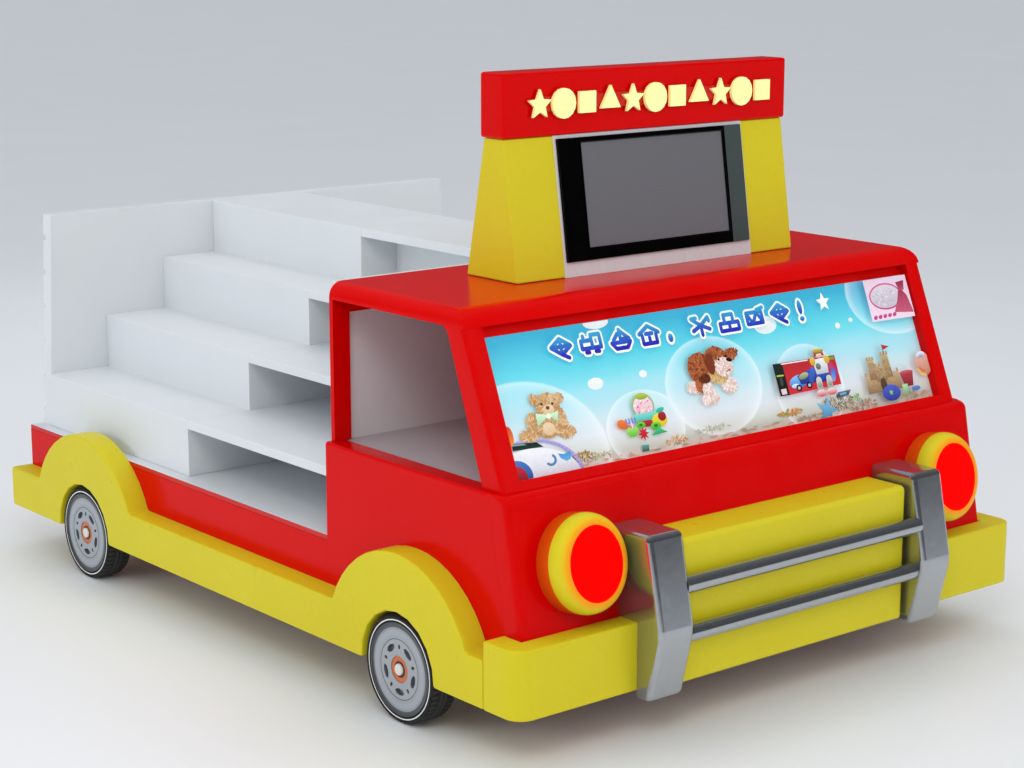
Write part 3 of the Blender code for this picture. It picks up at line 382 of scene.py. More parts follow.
def signAcrylic(faceY):
    # raised acrylic shapes on a painted rail: cream where they stand proud, with a faint painted glow, red on
    # the rail behind
    material = moulded("creamAcrylic")
    tree = material.node_tree
    shader = tree.nodes["Principled BSDF"]
    cream = shader.inputs["Base Color"].links[0].from_socket
    point = addNode(tree, "ShaderNodeTexCoord").outputs["Object"]
    depth = addNode(tree, "ShaderNodeSeparateXYZ", {"Vector": point}).outputs["Y"]
    proud = addNode(tree, "ShaderNodeMath", {0: depth, 1: faceY}, operation="LESS_THAN")
    colour = addNode(tree, "ShaderNodeMix", {0: proud, 6: signLook["rail"], 7: cream}, data_type="RGBA")
    # painted glow: the proud shapes give off a faint light of their own, though no lamp is in them
    glow = addNode(tree, "ShaderNodeMath", {0: proud, 1: signLook["glow"]}, operation="MULTIPLY")
    tree.links.new(liveOutput(glow), shader.inputs["Emission Strength"])
    return finishMaterial(material, colour, glow=cream)


def both(*stems):
    return [stem + hand for stem in stems for hand in ("_left", "_right")]


wheelCorners = ("front_left", "front_right", "rear_left", "rear_right")
paintedShadeStripFrom = 0.39  # the television's housing is painted grey-green past this far across: painted shade standing in for the shaded side wall beside the screen
red = gelCoat("signalRed")
chrome = chromePlate()
bezel = moulded("bezelBlack")
finishes = [
    (red, both("bed_side", "cab_side", "windscreen_pillar")
     + ["bed_tail", "cab_front", "cab_roof", "rear_hoop", "light_box_tray", "pylon_header"]),
    (gelCoat("sunYellow"), both("skirt") + ["front_bumper", "rear_skirt", "grille_panel", "pylon_shell"]),
    (melamine("white"), ["shelf_%s_%d" % (hand, row) for hand in ("left", "right") for row in (1, 2, 3)]
     + ["stepped_case", "ridge_spine", "slatwall_panel", "cab_back_panel"]),
    (melamine("deck", edgeCode="#CC0505"), ["deck_board"]),
    (melamine("grey"), ["cab_floor"]),
    (melamine("trim"), ["tv_trim"]),
    (birchPlywood(), both("base_girder")),
    (turnedSteel(), ["axle_front", "axle_rear"]),
    (chrome, both("bar_post")),
    (posterFilm(*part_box("poster_panel")), ["poster_panel"]),
    (moulded("bezelBlack", paintedShadePast=paintedShadeStripFrom), ["tv_housing"]),
    (moulded("inletBlack"), ["power_inlet"]),
    (screenPanel(), ["tv_screen"]),
    (signAcrylic(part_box("sign_row")[0].y + signLook["proud"]), ["sign_row"]),
    (moulded("bearingOrange"), ["bearing_" + corner for corner in wheelCorners]),
]


def paint(name, material):
    nodes[name].data.materials.clear()
    nodes[name].data.materials.append(material)


for material, names in finishes:
    for name in names:
        paint(name, material)
print("finishes made")


# Geometry Nodes: one tree closes and smooths a skin, one repeats a shape in a row, one round an axle
def startTree(name, sizes):
    tree = bpy.data.node_groups.new(name, "GeometryNodeTree")
    tree.interface.new_socket("Geometry", in_out="INPUT", socket_type="NodeSocketGeometry")
    for label, kind, value in sizes:
        socket = tree.interface.new_socket(label, in_out="INPUT", socket_type="NodeSocket" + kind)
        if value is not None:
            socket.default_value = value
    tree.interface.new_socket("Geometry", in_out="OUTPUT", socket_type="NodeSocketGeometry")
    return tree, addNode(tree, "NodeGroupInput").outputs


def skinTree():
    # joins the loose triangles and shades them smooth, with a crease wherever two faces meet sharply
    tree, given = startTree("smoothSkin", [("Join Distance", "Float", 0.00002),
                                           ("Crease Angle", "Float", 0.61)])
    joined = addNode(tree, "GeometryNodeMergeByDistance", {"Geometry": given["Geometry"],
                                                           "Distance": given["Join Distance"]})
    plain = addNode(tree, "GeometryNodeRemoveAttribute", {"Geometry": joined, "Name": "custom_normal"})
    soft = addNode(tree, "GeometryNodeSetShadeSmooth", {"Geometry": plain, "Shade Smooth": True},
                   domain="FACE")
    fold = addNode(tree, "GeometryNodeInputMeshEdgeAngle").outputs["Unsigned Angle"]
    sharp = addNode(tree, "FunctionNodeCompare", {0: fold, 1: given["Crease Angle"]}, data_type="FLOAT",
                    operation="GREATER_THAN")
    creased = addNode(tree, "GeometryNodeSetShadeSmooth", {"Geometry": soft, "Selection": sharp,
                                                           "Shade Smooth": False}, domain="EDGE")
    addNode(tree, "NodeGroupOutput", {"Geometry": creased})
    return tree


def repeatTree(name, sizes, layOut):
    # puts the given shape on the points that layOut makes, turned as it says, as real geometry in one finish
    tree, given = startTree(name, sizes + [("Finish", "Material", None)])
    copies = addNode(tree, "GeometryNodeInstanceOnPoints", {**layOut(tree, given),
                                                            "Instance": given["Geometry"]})
    real = addNode(tree, "GeometryNodeRealizeInstances", {"Geometry": copies})
    done = addNode(tree, "GeometryNodeSetMaterial", {"Geometry": real, "Material": given["Finish"]})
    addNode(tree, "NodeGroupOutput", {"Geometry": done})
    return tree


def pointsInRow(tree, given):
    line = addNode(tree, "GeometryNodeMeshLine", {"Count": given["Count"], "Offset": given["Step"]})
    return {"Points": line}


def pointsRoundAxle(tree, given):
    # every point lies at the centre, and each copy is turned one step further about the axle's own line
    spots = addNode(tree, "GeometryNodePoints", {"Count": given["Count"], "Position": given["Centre"]})
    index = addNode(tree, "GeometryNodeInputIndex")
    step = addNode(tree, "ShaderNodeMath", {0: 2 * math.pi, 1: given["Count"]}, operation="DIVIDE")
    angle = addNode(tree, "ShaderNodeMath", {0: index, 1: step}, operation="MULTIPLY")
    return {"Points": spots, "Rotation": addNode(tree, "ShaderNodeCombineXYZ", {"X": angle})}


def runTree(piece, tree, values):
    # bakes a tree into the piece's mesh; a value is set by its socket's identifier
    modifier = piece.modifiers.new(tree.name, "NODES")
    modifier.node_group = tree
    for socket in tree.interface.items_tree:
        if socket.in_out == "INPUT" and socket.name in values:
            modifier[socket.identifier] = values[socket.name]
    bpy.context.view_layer.update()
    baked = bpy.data.meshes.new_from_object(piece.evaluated_get(bpy.context.evaluated_depsgraph_get()))
    piece.modifiers.remove(modifier)
    piece.data = baked
    return piece


smoothSkin = skinTree()
repeatInRow = repeatTree("repeatInRow", [("Count", "Int", 6), ("Step", "Vector", None)], pointsInRow)
repeatRoundAxle = repeatTree("repeatRoundAxle", [("Count", "Int", 60), ("Centre", "Vector", None)],
                             pointsRoundAxle)
for node in nodes.values():
    skin = node.modifiers.new("smoothSkin", "NODES")
    skin.node_group = smoothSkin
    weigh = node.modifiers.new("flatFacesFirst", "WEIGHTED_NORMAL")
    weigh.keep_sharp = True
    weigh.weight = 80
print("skins smoothed")

creaseDegrees = 38  # an added piece is shaded smooth except where it folds more than this


def settle(piece, body, replaced=()):
    if body:
        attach(piece, body)
    if replaced:
        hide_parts(*replaced)
    return piece


def addPiece(name, bm, material, body, smooth=True, replaced=(), recalculate=True):
    if recalculate:
        bmesh.ops.recalc_face_normals(bm, faces=bm.faces)
    mesh = bpy.data.meshes.new(name)
    bm.to_mesh(mesh)
    bm.free()
    if smooth:
        mesh.shade_smooth()
        mesh.set_sharp_from_angle(angle=math.radians(creaseDegrees))
    if material:
        mesh.materials.append(material)
    piece = bpy.data.objects.new(name, mesh)
    bpy.context.scene.collection.objects.link(piece)
    return settle(piece, body, replaced)


def joinRings(bm, rings, closed=True):
    # faces from each ring of points to the next, and from the last to the first where closed
    for here, there in zip(rings, rings[1:] + rings[:1] if closed else rings[1:]):
        for i in range(len(here)):
            j = (i + 1) % len(here)
            bm.faces.new((here[i], here[j], there[j], there[i]))


def turnProfile(bm, profile, centre, side, sides):
    # turns a closed profile of (radius, depth in from the outer face) about the axle
    rings = []
    for k in range(sides):
        angle = 2 * math.pi * k / sides
        rings.append([bm.verts.new((centre.x - side * depth, centre.y + r * math.cos(angle),
                                    centre.z + r * math.sin(angle))) for r, depth in profile])
    joinRings(bm, rings)


def addTurned(name, profiles, centre, side, sides, material, body, replaced=()):
    bm = bmesh.new()
    for profile in profiles:
        turnProfile(bm, profile, centre, side, sides)
    addPiece(name, bm, material, body, replaced=replaced)


# a wall's outline is (share of the radius, depth in), and the white line stands between the two walls
tyreShape = {"sides": 120, "treadDrop": 0.0028, "grooveWidth": 0.004, "grooves": (0.34, 0.50, 0.66),
             "shoulder": 0.010, "edge": 0.0006, "boreDepth": 0.0050,
             "lowerWall": ((0.878, 0.0026), (0.893, 0.0022)),
             "upperWall": ((0.916, 0.0020), (0.945, 0.0004), (0.968, 0.0010)),
             "lineInner": 0.893, "lineOuter": 0.916, "lineDepth": 0.0014, "cornerDrop": 0.0010,
             "cornerDepth": 0.0055,
             "blocks": 54, "blockShare": 0.62, "blockLength": 0.022, "blockTaper": 0.86, "blockSink": 0.0008,
             "blockOver": 0.003, "blockShort": 0.002, "outerDrop": 0.0012, "innerDrop": 0.0003}


def tyreProfile(bore, radius, width):
    # sidewall with its raised line, rounded shoulders, a tread with three grooves and lower shoulder lanes
    s = tyreShape
    floor = radius - s["treadDrop"]
    lane = s["shoulder"] + s["blockLength"]
    edge = s["edge"]
    half = [(bore, s["boreDepth"])] + [(radius * share, depth) for share, depth in s["lowerWall"]]
    half += [(radius * s["lineInner"] + edge, s["lineDepth"]),
             (radius * s["lineOuter"] - edge, s["lineDepth"])]
    half += [(radius * share, depth) for share, depth in s["upperWall"]]
    half += [(floor - s["cornerDrop"], s["cornerDepth"]), (floor, s["shoulder"])]
    tread = [(floor, lane), (radius, lane + edge)]
    for share in s["grooves"]:
        start, end = width * share - s["grooveWidth"] / 2, width * share + s["grooveWidth"] / 2
        tread += [(radius, start), (floor, start + edge), (floor, end - edge), (radius, end)]
    tread += [(radius, width - lane - edge), (floor, width - lane)]
    return half + tread + [(r, width - depth) for r, depth in reversed(half)]


def treadBlocks(radius, width, side):
    # a pair of shoulder blocks, one at each edge of the tread, modelled at the top of the wheel
    s = tyreShape
    bm = bmesh.new()
    reach = math.pi * radius / s["blocks"] * s["blockShare"]
    floor = radius - s["treadDrop"] - s["blockSink"]
    near, far = s["shoulder"] - s["blockOver"], s["shoulder"] + s["blockLength"] - s["blockShort"]
    for start, end in ((near, far), (width - far, width - near)):
        feet = []
        for depth in (start, end):
            for across in (-reach, reach):
                outer = (depth == start) == (start < width / 2)
                top = radius - (s["outerDrop"] if outer else s["innerDrop"])
                feet.append((bm.verts.new((-side * depth, across, floor)),
                             bm.verts.new((-side * depth, across * s["blockTaper"], top))))
        feet = [feet[i] for i in (0, 1, 3, 2)]
        for (lowA, highA), (lowB, highB) in zip(feet, feet[1:] + feet[:1]):
            bm.faces.new((lowA, lowB, highB, highA))
        bm.faces.new([high for _, high in feet])
        bm.faces.new([low for low, _ in reversed(feet)])
    return bm


# the cap's outline is (in from its edge, depth), and depths below zero stand proud of the tyre's side
wheelShape = {"sides": 96, "discFacets": 36, "gap": 0.0006, "slotDepth": 0.0012, "lipWidth": 0.0060,
              "lipProud": 0.0030, "lipSlope": 0.0015, "beadRadius": 0.103, "beadHalf": 0.0018,
              "beadProud": 0.0014, "capSides": 40, "capRadius": 0.020, "capBore": 0.0145, "capFoot": 0.001,
              "capEdge": ((0.0, 0.0010), (0.0012, -0.0014), (0.0045, -0.0028)), "capCrown": -0.0034,
              "capRoof": -0.0010, "pin": 0.0006, "sealSides": 48, "sealRadius": 0.028, "sealProud": 0.0006,
              "sealCrown": 0.0012, "sealMouth": 0.001, "sealSeat": 0.0002}


def dressWheel(corner):
    w = wheelShape
    body = "turning_" + corner
    side = 1 if corner.endswith("right") else -1
    low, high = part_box("tyre_" + corner)
    discLow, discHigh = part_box("wheel_" + corner)
    bearingLow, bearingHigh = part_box("bearing_" + corner)
    axle = Vector((high.x if side > 0 else low.x, (low.y + high.y) / 2, (discLow.z + discHigh.z) / 2))
    radius, width = axle.z - low.z, high.x - low.x
    rim = (discHigh.z - discLow.z) / 2 / math.cos(math.pi / w["discFacets"])
    rubber = tyreRubber(axle, radius)

    addTurned("tyreCasing_" + corner, [tyreProfile(rim + w["gap"], radius, width)], axle, side,
              tyreShape["sides"], rubber, body, replaced=("tyre_" + corner,))
    blocks = addPiece("treadBlocks_" + corner, treadBlocks(radius, width, side), None, None,
                      smooth=False)
    runTree(blocks, repeatRoundAxle, {"Count": tyreShape["blocks"], "Centre": tuple(axle), "Finish": rubber})
    settle(blocks, body)

    face = abs(discHigh.x if side > 0 else discLow.x)
    enamel = wheelEnamel(axle, rim, face - w["slotDepth"])
    paint("wheel_" + corner, enamel)
    inset = abs(axle.x) - face
    inner, slope = rim - w["lipWidth"], w["lipSlope"]
    lip = [(inner, inset), (inner + slope, inset - w["lipProud"]), (rim - slope, inset - w["lipProud"]),
           (rim, inset)]
    bead = [(w["beadRadius"] - w["beadHalf"], inset), (w["beadRadius"], inset - w["beadProud"]),
            (w["beadRadius"] + w["beadHalf"], inset)]
    addTurned("rimLip_" + corner, [lip, bead], axle, side, w["sides"], enamel, body)

    capFace = abs(axle.x) - abs(bearingHigh.x if side > 0 else bearingLow.x)
    cap, foot = w["capRadius"], capFace + w["capFoot"]
    dome = [(cap, foot)] + [(cap - inward, depth) for inward, depth in w["capEdge"]]
    dome += [(w["pin"], w["capCrown"]), (w["pin"], w["capRoof"]), (w["capBore"], w["capRoof"]),
             (w["capBore"], foot)]
    addTurned("hubCap_" + corner, [dome], axle, side, w["capSides"], capWhite, body)
    seal = [(w["sealRadius"], foot), (w["sealRadius"], capFace - w["sealProud"]),
            (cap + w["sealMouth"], capFace - w["sealCrown"]), (cap + w["sealSeat"], foot)]
    addTurned("hubSeal_" + corner, [seal], axle, side, w["sealSides"], sealBlack, body)


capWhite = moulded("capWhite")
sealBlack = moulded("inletBlack")
for corner in wheelCorners:
    dressWheel(corner)
print("wheels dressed")

slatShape = {"count": 6, "firstAbove": 0.077, "pitch": 0.1424, "height": 0.0205, "depth": 0.0165,
             "wall": 0.0012, "lip": 0.0050, "endInset": 0.042}


def addSlatInserts():
    # a channel pressed into each groove of the rear panel, with a lip over each edge
    s = slatShape
    low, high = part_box("slatwall_panel")
    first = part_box("deck_board")[1].z + s["firstAbove"]
    back, mouth, half, wall, lip = high.y - s["depth"], high.y, s["height"] / 2, s["wall"], s["lip"]
    path = [(mouth + wall, half + lip), (mouth, half + lip), (mouth, half), (back, half), (back, -half),
            (mouth, -half), (mouth, -half - lip), (mouth + wall, -half - lip), (mouth + wall, -half + wall),
            (back + wall, -half + wall), (back + wall, half - wall), (mouth + wall, half - wall)]
    reach = high.x - s["endInset"]
    bm = bmesh.new()
    ends = [[bm.verts.new((x, y, first + z)) for y, z in path] for x in (-reach, reach)]
    joinRings(bm, ends, closed=False)
    for end in ends:
        bm.faces.new(end)
    inserts = addPiece("slatInserts", bm, None, None, smooth=False)
    runTree(inserts, repeatInRow, {"Count": s["count"], "Step": (0.0, 0.0, s["pitch"]),
                                   "Finish": anodisedStrip()})
    settle(inserts, "kiosk")


addSlatInserts()
print("rear panel fitted")


# half sizes across and up: the barrel at its foot, its rounded lip, and the lens set inside it
lampShape = {"depth": 0.116, "behindLens": 0.108, "across": (0.153, 0.111), "up": (0.163, 0.1247),
             "shoulder": 0.062, "steps": 10, "lens": (0.1095, 0.1232), "lensFace": 0.1135, "dome": 0.0025,
             "domeShares": (0.97, 0.9, 0.75, 0.5, 0.2), "lensFoot": 0.102, "seatGap": 0.0002,
             "bore": 0.004, "boreTop": 0.10, "sides": 96,
             # bands: red behind and yellow in front are two-tone paint; the orange stops where they meet are
             # a painted reflection of the yellow on the red, and the brighter orange at the lip is painted
             # light beside the lit lens
             "bands": [(0.0, "#D80402"), (0.30, "#D60F02"), (0.50, "#D43404"), (0.515, "#D6C722"),
                       (0.84, "#DCCE22"), (0.94, "#F0BC1C"), (0.99, "#FF9A10")]}


def facing(name):
    # outward normal of a piece's largest forward face
    forward = [face for face in nodes[name].data.polygons if face.normal.y < -0.5]
    return max(forward, key=lambda face: face.area).normal.copy()


def ovalRings(bm, foot, out, profile, sides, closed):
    # rings of (half width, half height, distance out from the foot), joined in turn
    right = Vector((1.0, 0.0, 0.0))
    up = right.cross(out) * -1.0
    rings = []
    for wide, tall, lift in profile:
        ring = []
        for k in range(sides):
            t = 2 * math.pi * k / sides
            across, along = right * wide * math.cos(t), up * tall * math.sin(t)
            ring.append(bm.verts.new(foot + across + along + out * lift))
        rings.append(ring)
    joinRings(bm, rings, closed)
    return rings


def addLamp(hand):
    # an upright oval lamp: a barrel swelling into a rounded lip, with a shallow domed lens set inside it
    s = lampShape
    low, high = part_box("headlamp_lens_" + hand)
    out = facing("headlamp_lens_" + hand)
    foot = (low + high) / 2 - out * s["behindLens"]
    footAcross, lipAcross = s["across"]
    footUp, lipUp = s["up"]
    wide, tall = s["lens"]
    profile = [(footAcross, footUp, 0.0)]
    for k in range(s["steps"] + 1):
        t = math.pi / 2 * k / s["steps"]
        profile.append((lipAcross + (footAcross - lipAcross) * math.cos(t),
                        lipUp + (footUp - lipUp) * math.cos(t),
                        s["shoulder"] + (s["depth"] - s["shoulder"]) * math.sin(t)))
    profile += [(wide, tall, s["lensFace"]), (wide - s["bore"], tall - s["bore"], s["boreTop"]),
                (wide - s["bore"], tall - s["bore"], 0.0)]
    bm = bmesh.new()
    ovalRings(bm, foot, out, profile, s["sides"], closed=True)
    addPiece("lampRing_" + hand, bm, gelCoat("sunYellow", span=(foot, out, s["depth"]), stops=s["bands"]),
             "kiosk", replaced=("headlamp_ring_" + hand,))
    bm = bmesh.new()
    seat = (wide - s["seatGap"], tall - s["seatGap"])
    lens = [(*seat, s["lensFoot"]), (*seat, s["lensFace"])]
    lens += [(wide * share, tall * share, s["lensFace"] + s["dome"] * (1 - share ** 2) ** 0.5)
             for share in s["domeShares"]]
    rings = ovalRings(bm, foot, out, lens, s["sides"], closed=False)
    bm.faces.new(rings[0])
    bm.faces.new(rings[-1])
    addPiece("lampLens_" + hand, bm, glowingLens, "kiosk", replaced=("headlamp_lens_" + hand,))


glowingLens = lampAcrylic()
for hand in ("left", "right"):
    addLamp(hand)
print("lamps fitted")

tubeShape = {"stouter": 0.0035, "intoPost": 0.012, "wall": 0.004, "sides": 48}


def addTubes():
    # two chromed tubes between the posts, a little stouter than the solids they stand for
    s = tubeShape
    for level in ("upper", "lower"):
        low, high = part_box("bar_tube_" + level)
        reach = high.x + s["intoPost"]
        radius = (high.z - low.z) / 2 + s["stouter"]
        bore = radius - s["wall"]
        middle = Vector((reach, (low.y + high.y) / 2 - s["stouter"], (low.z + high.z) / 2))
        profile = [(radius, 0.0), (radius, reach * 2), (bore, reach * 2), (bore, 0.0)]
        addTurned("barTube_" + level, [profile], middle, 1, s["sides"], chrome, "kiosk",
                  replaced=("bar_tube_" + level,))


addTubes()
print("bull bar fitted")


def leaningPoint(low, high, thick, u, v, lift):
    # a point on the front of a leaning panel: u across it and v up it from 0 to 1, lift out of it
    up = Vector((0.0, high.y - low.y, high.z - low.z)).normalized()
    for _ in range(4):  # the box also holds the panel's thickness, so the lean is found step by step
        out = Vector((0.0, -up.z, up.y))
        foot = Vector((low.x, low.y, low.z + thick * out.z))
        head = Vector((low.x, high.y + thick * out.y, high.z))
        up = (head - foot).normalized()
    return foot + Vector((high.x - low.x, 0.0, 0.0)) * u + (head - foot) * v + out * lift


setShape = {"lip": 0.006, "proud": 0.0016, "glass": 0.004, "edge": 0.0042, "seat": 0.001}


def addScreenLip():
    # thin moulded frame round the television's screen
    s = setShape
    low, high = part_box("tv_screen")
    wide, tall = high.x - low.x, high.z - low.z
    bm = bmesh.new()
    rings = []
    for grow, lift in ((0.0, s["seat"]), (0.0, s["edge"]), (s["lip"] / 2, s["edge"] + s["proud"]),
                       (s["lip"], s["edge"]), (s["lip"], s["seat"])):
        du, dv = grow / wide, grow / tall
        rings.append([bm.verts.new(leaningPoint(low, high, s["glass"], u, v, lift)) for u, v in
                      ((-du, -dv), (1 + du, -dv), (1 + du, 1 + dv), (-du, 1 + dv))])
    joinRings(bm, rings)
    addPiece("screenLip", bm, bezel, "kiosk", smooth=False)


addScreenLip()
print("television fitted")


# poster print: flat inked shapes on the film, in centimetres from its lower left corner
class PosterArt:
    def __init__(self):
        self.bm = bmesh.new()
        self.ink = self.bm.loops.layers.float_color.new("ink")
        self.low, self.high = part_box("poster_panel")
        self.wide = (self.high.x - self.low.x) * 100
        self.tall = (self.place(0, 1, 0) - self.place(0, 0, 0)).length * 100
        self.lift = posterLook["inkLift"]

    def place(self, u, v, lift):
        return leaningPoint(self.low, self.high, posterLook["filmThick"], u, v, lift)

    def fill(self, outline, top, bottom=None):
        # each shape lies a hair above the last, so later ones cover earlier ones
        self.lift += posterLook["inkStep"]
        margin = posterLook["margin"]
        reach = [min(max(y, margin), self.tall - margin) for _, y in outline]
        spread = (max(reach) - min(reach)) or 1.0
        first, last = hexColour(bottom or top), hexColour(top)
        points = [(min(max(x, margin), self.wide - margin), y) for (x, _), y in zip(outline, reach)]
        face = self.bm.faces.new([self.bm.verts.new(self.place(x / self.wide, y / self.tall, self.lift))
                                  for x, y in points])
        for loop, (_, y) in zip(face.loops, points):
            share = (y - min(reach)) / spread
            loop[self.ink] = tuple(a + (b - a) * share for a, b in zip(first, last))

    def disc(self, x, y, rx, ry, top, bottom=None, turn=0, sides=28):
        c, s = math.cos(math.radians(turn)), math.sin(math.radians(turn))
        ring = [(rx * math.cos(2 * math.pi * k / sides), ry * math.sin(2 * math.pi * k / sides))
                for k in range(sides)]
        self.fill([(x + a * c - b * s, y + a * s + b * c) for a, b in ring], top, bottom)

    def ring(self, x, y, rx, ry, share, start, end, top, bottom=None, steps=28):
        # part of an oval band, from one angle to another
        angles = [math.radians(start + (end - start) * k / steps) for k in range(steps + 1)]
        for a, b in zip(angles, angles[1:]):
            self.fill([(x + rx * r * math.cos(t), y + ry * r * math.sin(t)) for t, r in
                       ((a, 1), (b, 1), (b, share), (a, share))], top, bottom)

    def bar(self, x0, y0, x1, y1, width, top, bottom=None):
        # a stroke with round ends
        length = math.hypot(x1 - x0, y1 - y0)
        dx, dy = (x1 - x0) / length, (y1 - y0) / length
        half = width / 2
        ends = []
        for cx, cy, base in ((x1, y1, -90), (x0, y0, 90)):
            for k in range(7):
                t = math.radians(base + 30 * k)
                ends.append((cx + half * (math.cos(t) * dx - math.sin(t) * dy),
                             cy + half * (math.cos(t) * dy + math.sin(t) * dx)))
        self.fill(ends, top, bottom)

    def star(self, x, y, outer, inner, points, top, bottom=None, turn=90):
        rim = []
        for k in range(points * 2):
            t, r = math.radians(turn + 180 * k / points), inner if k % 2 else outer
            rim.append((x + r * math.cos(t), y + r * math.sin(t)))
        self.fill(rim, top, bottom)

    def fur(self, x, y, rx, ry, shades, count, seed, length=0.9):
        # short overlapping tufts scattered over an oval
        dice = random.Random(seed)
        for _ in range(count):
            t, r = dice.uniform(0, 2 * math.pi), math.sqrt(dice.random())
            self.disc(x + rx * r * math.cos(t), y + ry * r * math.sin(t), length * dice.uniform(0.5, 1.1),
                      length * dice.uniform(0.18, 0.4), dice.choice(shades),
                      turn=math.degrees(t) + dice.uniform(-50, 50), sides=7)


def mixHex(first, last, share):
    a, b = [[int(code[i:i + 2], 16) for i in (1, 3, 5)] for code in (first, last)]
    return "#" + "".join("%02X" % round(min(max(p + (q - p) * share, 0), 255)) for p, q in zip(a, b))


# strokes are (width, colour at the top, colour at the foot), the pale halo first
captionLook = {"foot": 36.1, "unitAcross": 1.03, "unitUp": 0.66, "tall": 6.6, "dotRadius": 1.1,
               "halo": (2.9, "#EAF8FB", "#FFFFFF"), "haloGrow": 0.9, "stroke": (1.45, "#2AA3D2", "#1A12B0"),
               "dots": ((78.4, 37.2, 1.5), (142.4, 40.6, 2.6), (142.4, 36.4, 0.9))}


def drawCaption(art):
    # a line of plain toy outlines in the caption's place: each is bars of x0, y0, x1, y1, ten units square
    kite = ((5, 10, 9, 6), (9, 6, 5, 2), (5, 2, 1, 6), (1, 6, 5, 10), (5, 10, 5, 2), (1, 6, 9, 6),
            (5, 2, 7.5, 0))
    boat = ((1, 3.5, 9, 3.5), (1, 3.5, 2.6, 0.5), (9, 3.5, 7.4, 0.5), (2.6, 0.5, 7.4, 0.5), (5, 3.5, 5, 10),
            (5, 9.6, 8.6, 5), (8.6, 5, 5, 5), (4, 8, 2, 5))
    house = ((0.8, 5.8, 5, 9.6), (5, 9.6, 9.2, 5.8), (2, 5, 2, 0.5), (8, 5, 8, 0.5), (2, 0.5, 8, 0.5),
             (5, 0.5, 5, 3.6), (3.6, 5.6, 6.4, 5.6))
    train = ((1, 3, 9, 3), (1, 3, 1, 7), (1, 7, 5.4, 7), (5.4, 3, 5.4, 9.6), (5.4, 9.6, 9, 9.6),
             (9, 9.6, 9, 3), (2.2, 7, 2.2, 9.4), (2.4, 1, 3.6, 1), (6.4, 1, 7.8, 1))
    mill = ((5, 5.5, 1.2, 9.4), (5, 5.5, 8.8, 9.4), (5, 5.5, 1.2, 3), (5, 5.5, 8.8, 3), (5, 5.5, 5, 0.4),
            (1.2, 9.4, 3.4, 9.6), (8.8, 9.4, 9, 7.4))
    blocks = ((0.8, 0.6, 9.2, 0.6), (0.8, 4.6, 9.2, 4.6), (0.8, 0.6, 0.8, 4.6), (5, 0.6, 5, 4.6),
              (9.2, 0.6, 9.2, 4.6), (3, 9, 7, 9), (3, 5, 3, 9), (7, 5, 7, 9))
    drum = ((1.4, 8, 8.6, 8), (1.4, 2, 8.6, 2), (1.4, 8, 1.4, 2), (8.6, 8, 8.6, 2), (1.4, 8, 3.8, 2),
            (3.8, 2, 6.2, 8), (6.2, 8, 8.6, 2), (6.6, 9, 9.4, 10))
    line = ((25.3, kite), (38.2, train), (51.2, boat), (64, house), (88.2, mill), (101.6, blocks),
            (114.2, drum), (126.8, kite))
    s = captionLook
    foot = s["foot"]
    for (width, top, bottom), grow in ((s["halo"], s["haloGrow"]), (s["stroke"], 0.0)):
        for x, bars in line:
            for x0, y0, x1, y1 in bars:
                a, b = [(x + u * s["unitAcross"], foot + v * s["unitUp"]) for u, v in ((x0, y0), (x1, y1))]
                if b[1] < a[1]:
                    a, b = b, a
                shade = [mixHex(bottom, top, (p[1] - foot) / s["tall"]) for p in (a, b)]
                art.bar(*a, *b, width, shade[1], shade[0])
        for x, y, ry in s["dots"]:
            art.disc(x, y, s["dotRadius"] + grow, ry + grow, top, bottom)


def drawBear(art):
    # legs, arms, ears, body and head, then the paler muzzle and tummy, a bow tie, eyes and nose
    coat = ("#D6AE7C", "#C99C66", "#E2C296", "#B98752")
    limbs = ((10.6, 13.6, 4.2, 2.0, 70), (25.9, 12.8, 3.8, 2.0, 70), (12.8, 17.4, 2.4, 3.4, 60),
             (25.0, 17.0, 2.1, 3.4, 60), (15.3, 24.7, 1.8, 1.8, 26), (25.6, 24.0, 1.8, 1.8, 26),
             (18.7, 16.2, 5.6, 4.6, 150), (20.3, 22.2, 5.1, 4.2, 150))
    for x, y, rx, ry, count in limbs:
        art.disc(x, y, rx, ry, coat[0], coat[3])
        art.fur(x, y, rx * 0.95, ry * 0.95, coat, count, int(x * 10))
    for x, y, rx, ry in ((20.2, 20.7, 2.4, 1.7), (18.4, 14.6, 2.6, 2.2)):
        art.disc(x, y, rx, ry, "#EBD2AC", "#DDBB8C")
    art.fill([(19.8, 19.0), (14.6, 20.2), (14.2, 15.8)], "#D4F2D0", "#9CD4A4")
    art.fill([(19.8, 19.0), (24.0, 20.0), (22.8, 16.2)], "#D4F2D0", "#9CD4A4")
    art.disc(19.6, 18.7, 1.1, 0.9, "#E4F8DE")
    for x, y, r, code in ((17.9, 22.9, 0.5, "#3A2A1E"), (22.3, 22.5, 0.5, "#3A2A1E"),
                          (20.0, 21.4, 0.8, "#6A4630")):
        art.disc(x, y, r, r * 0.8, code)


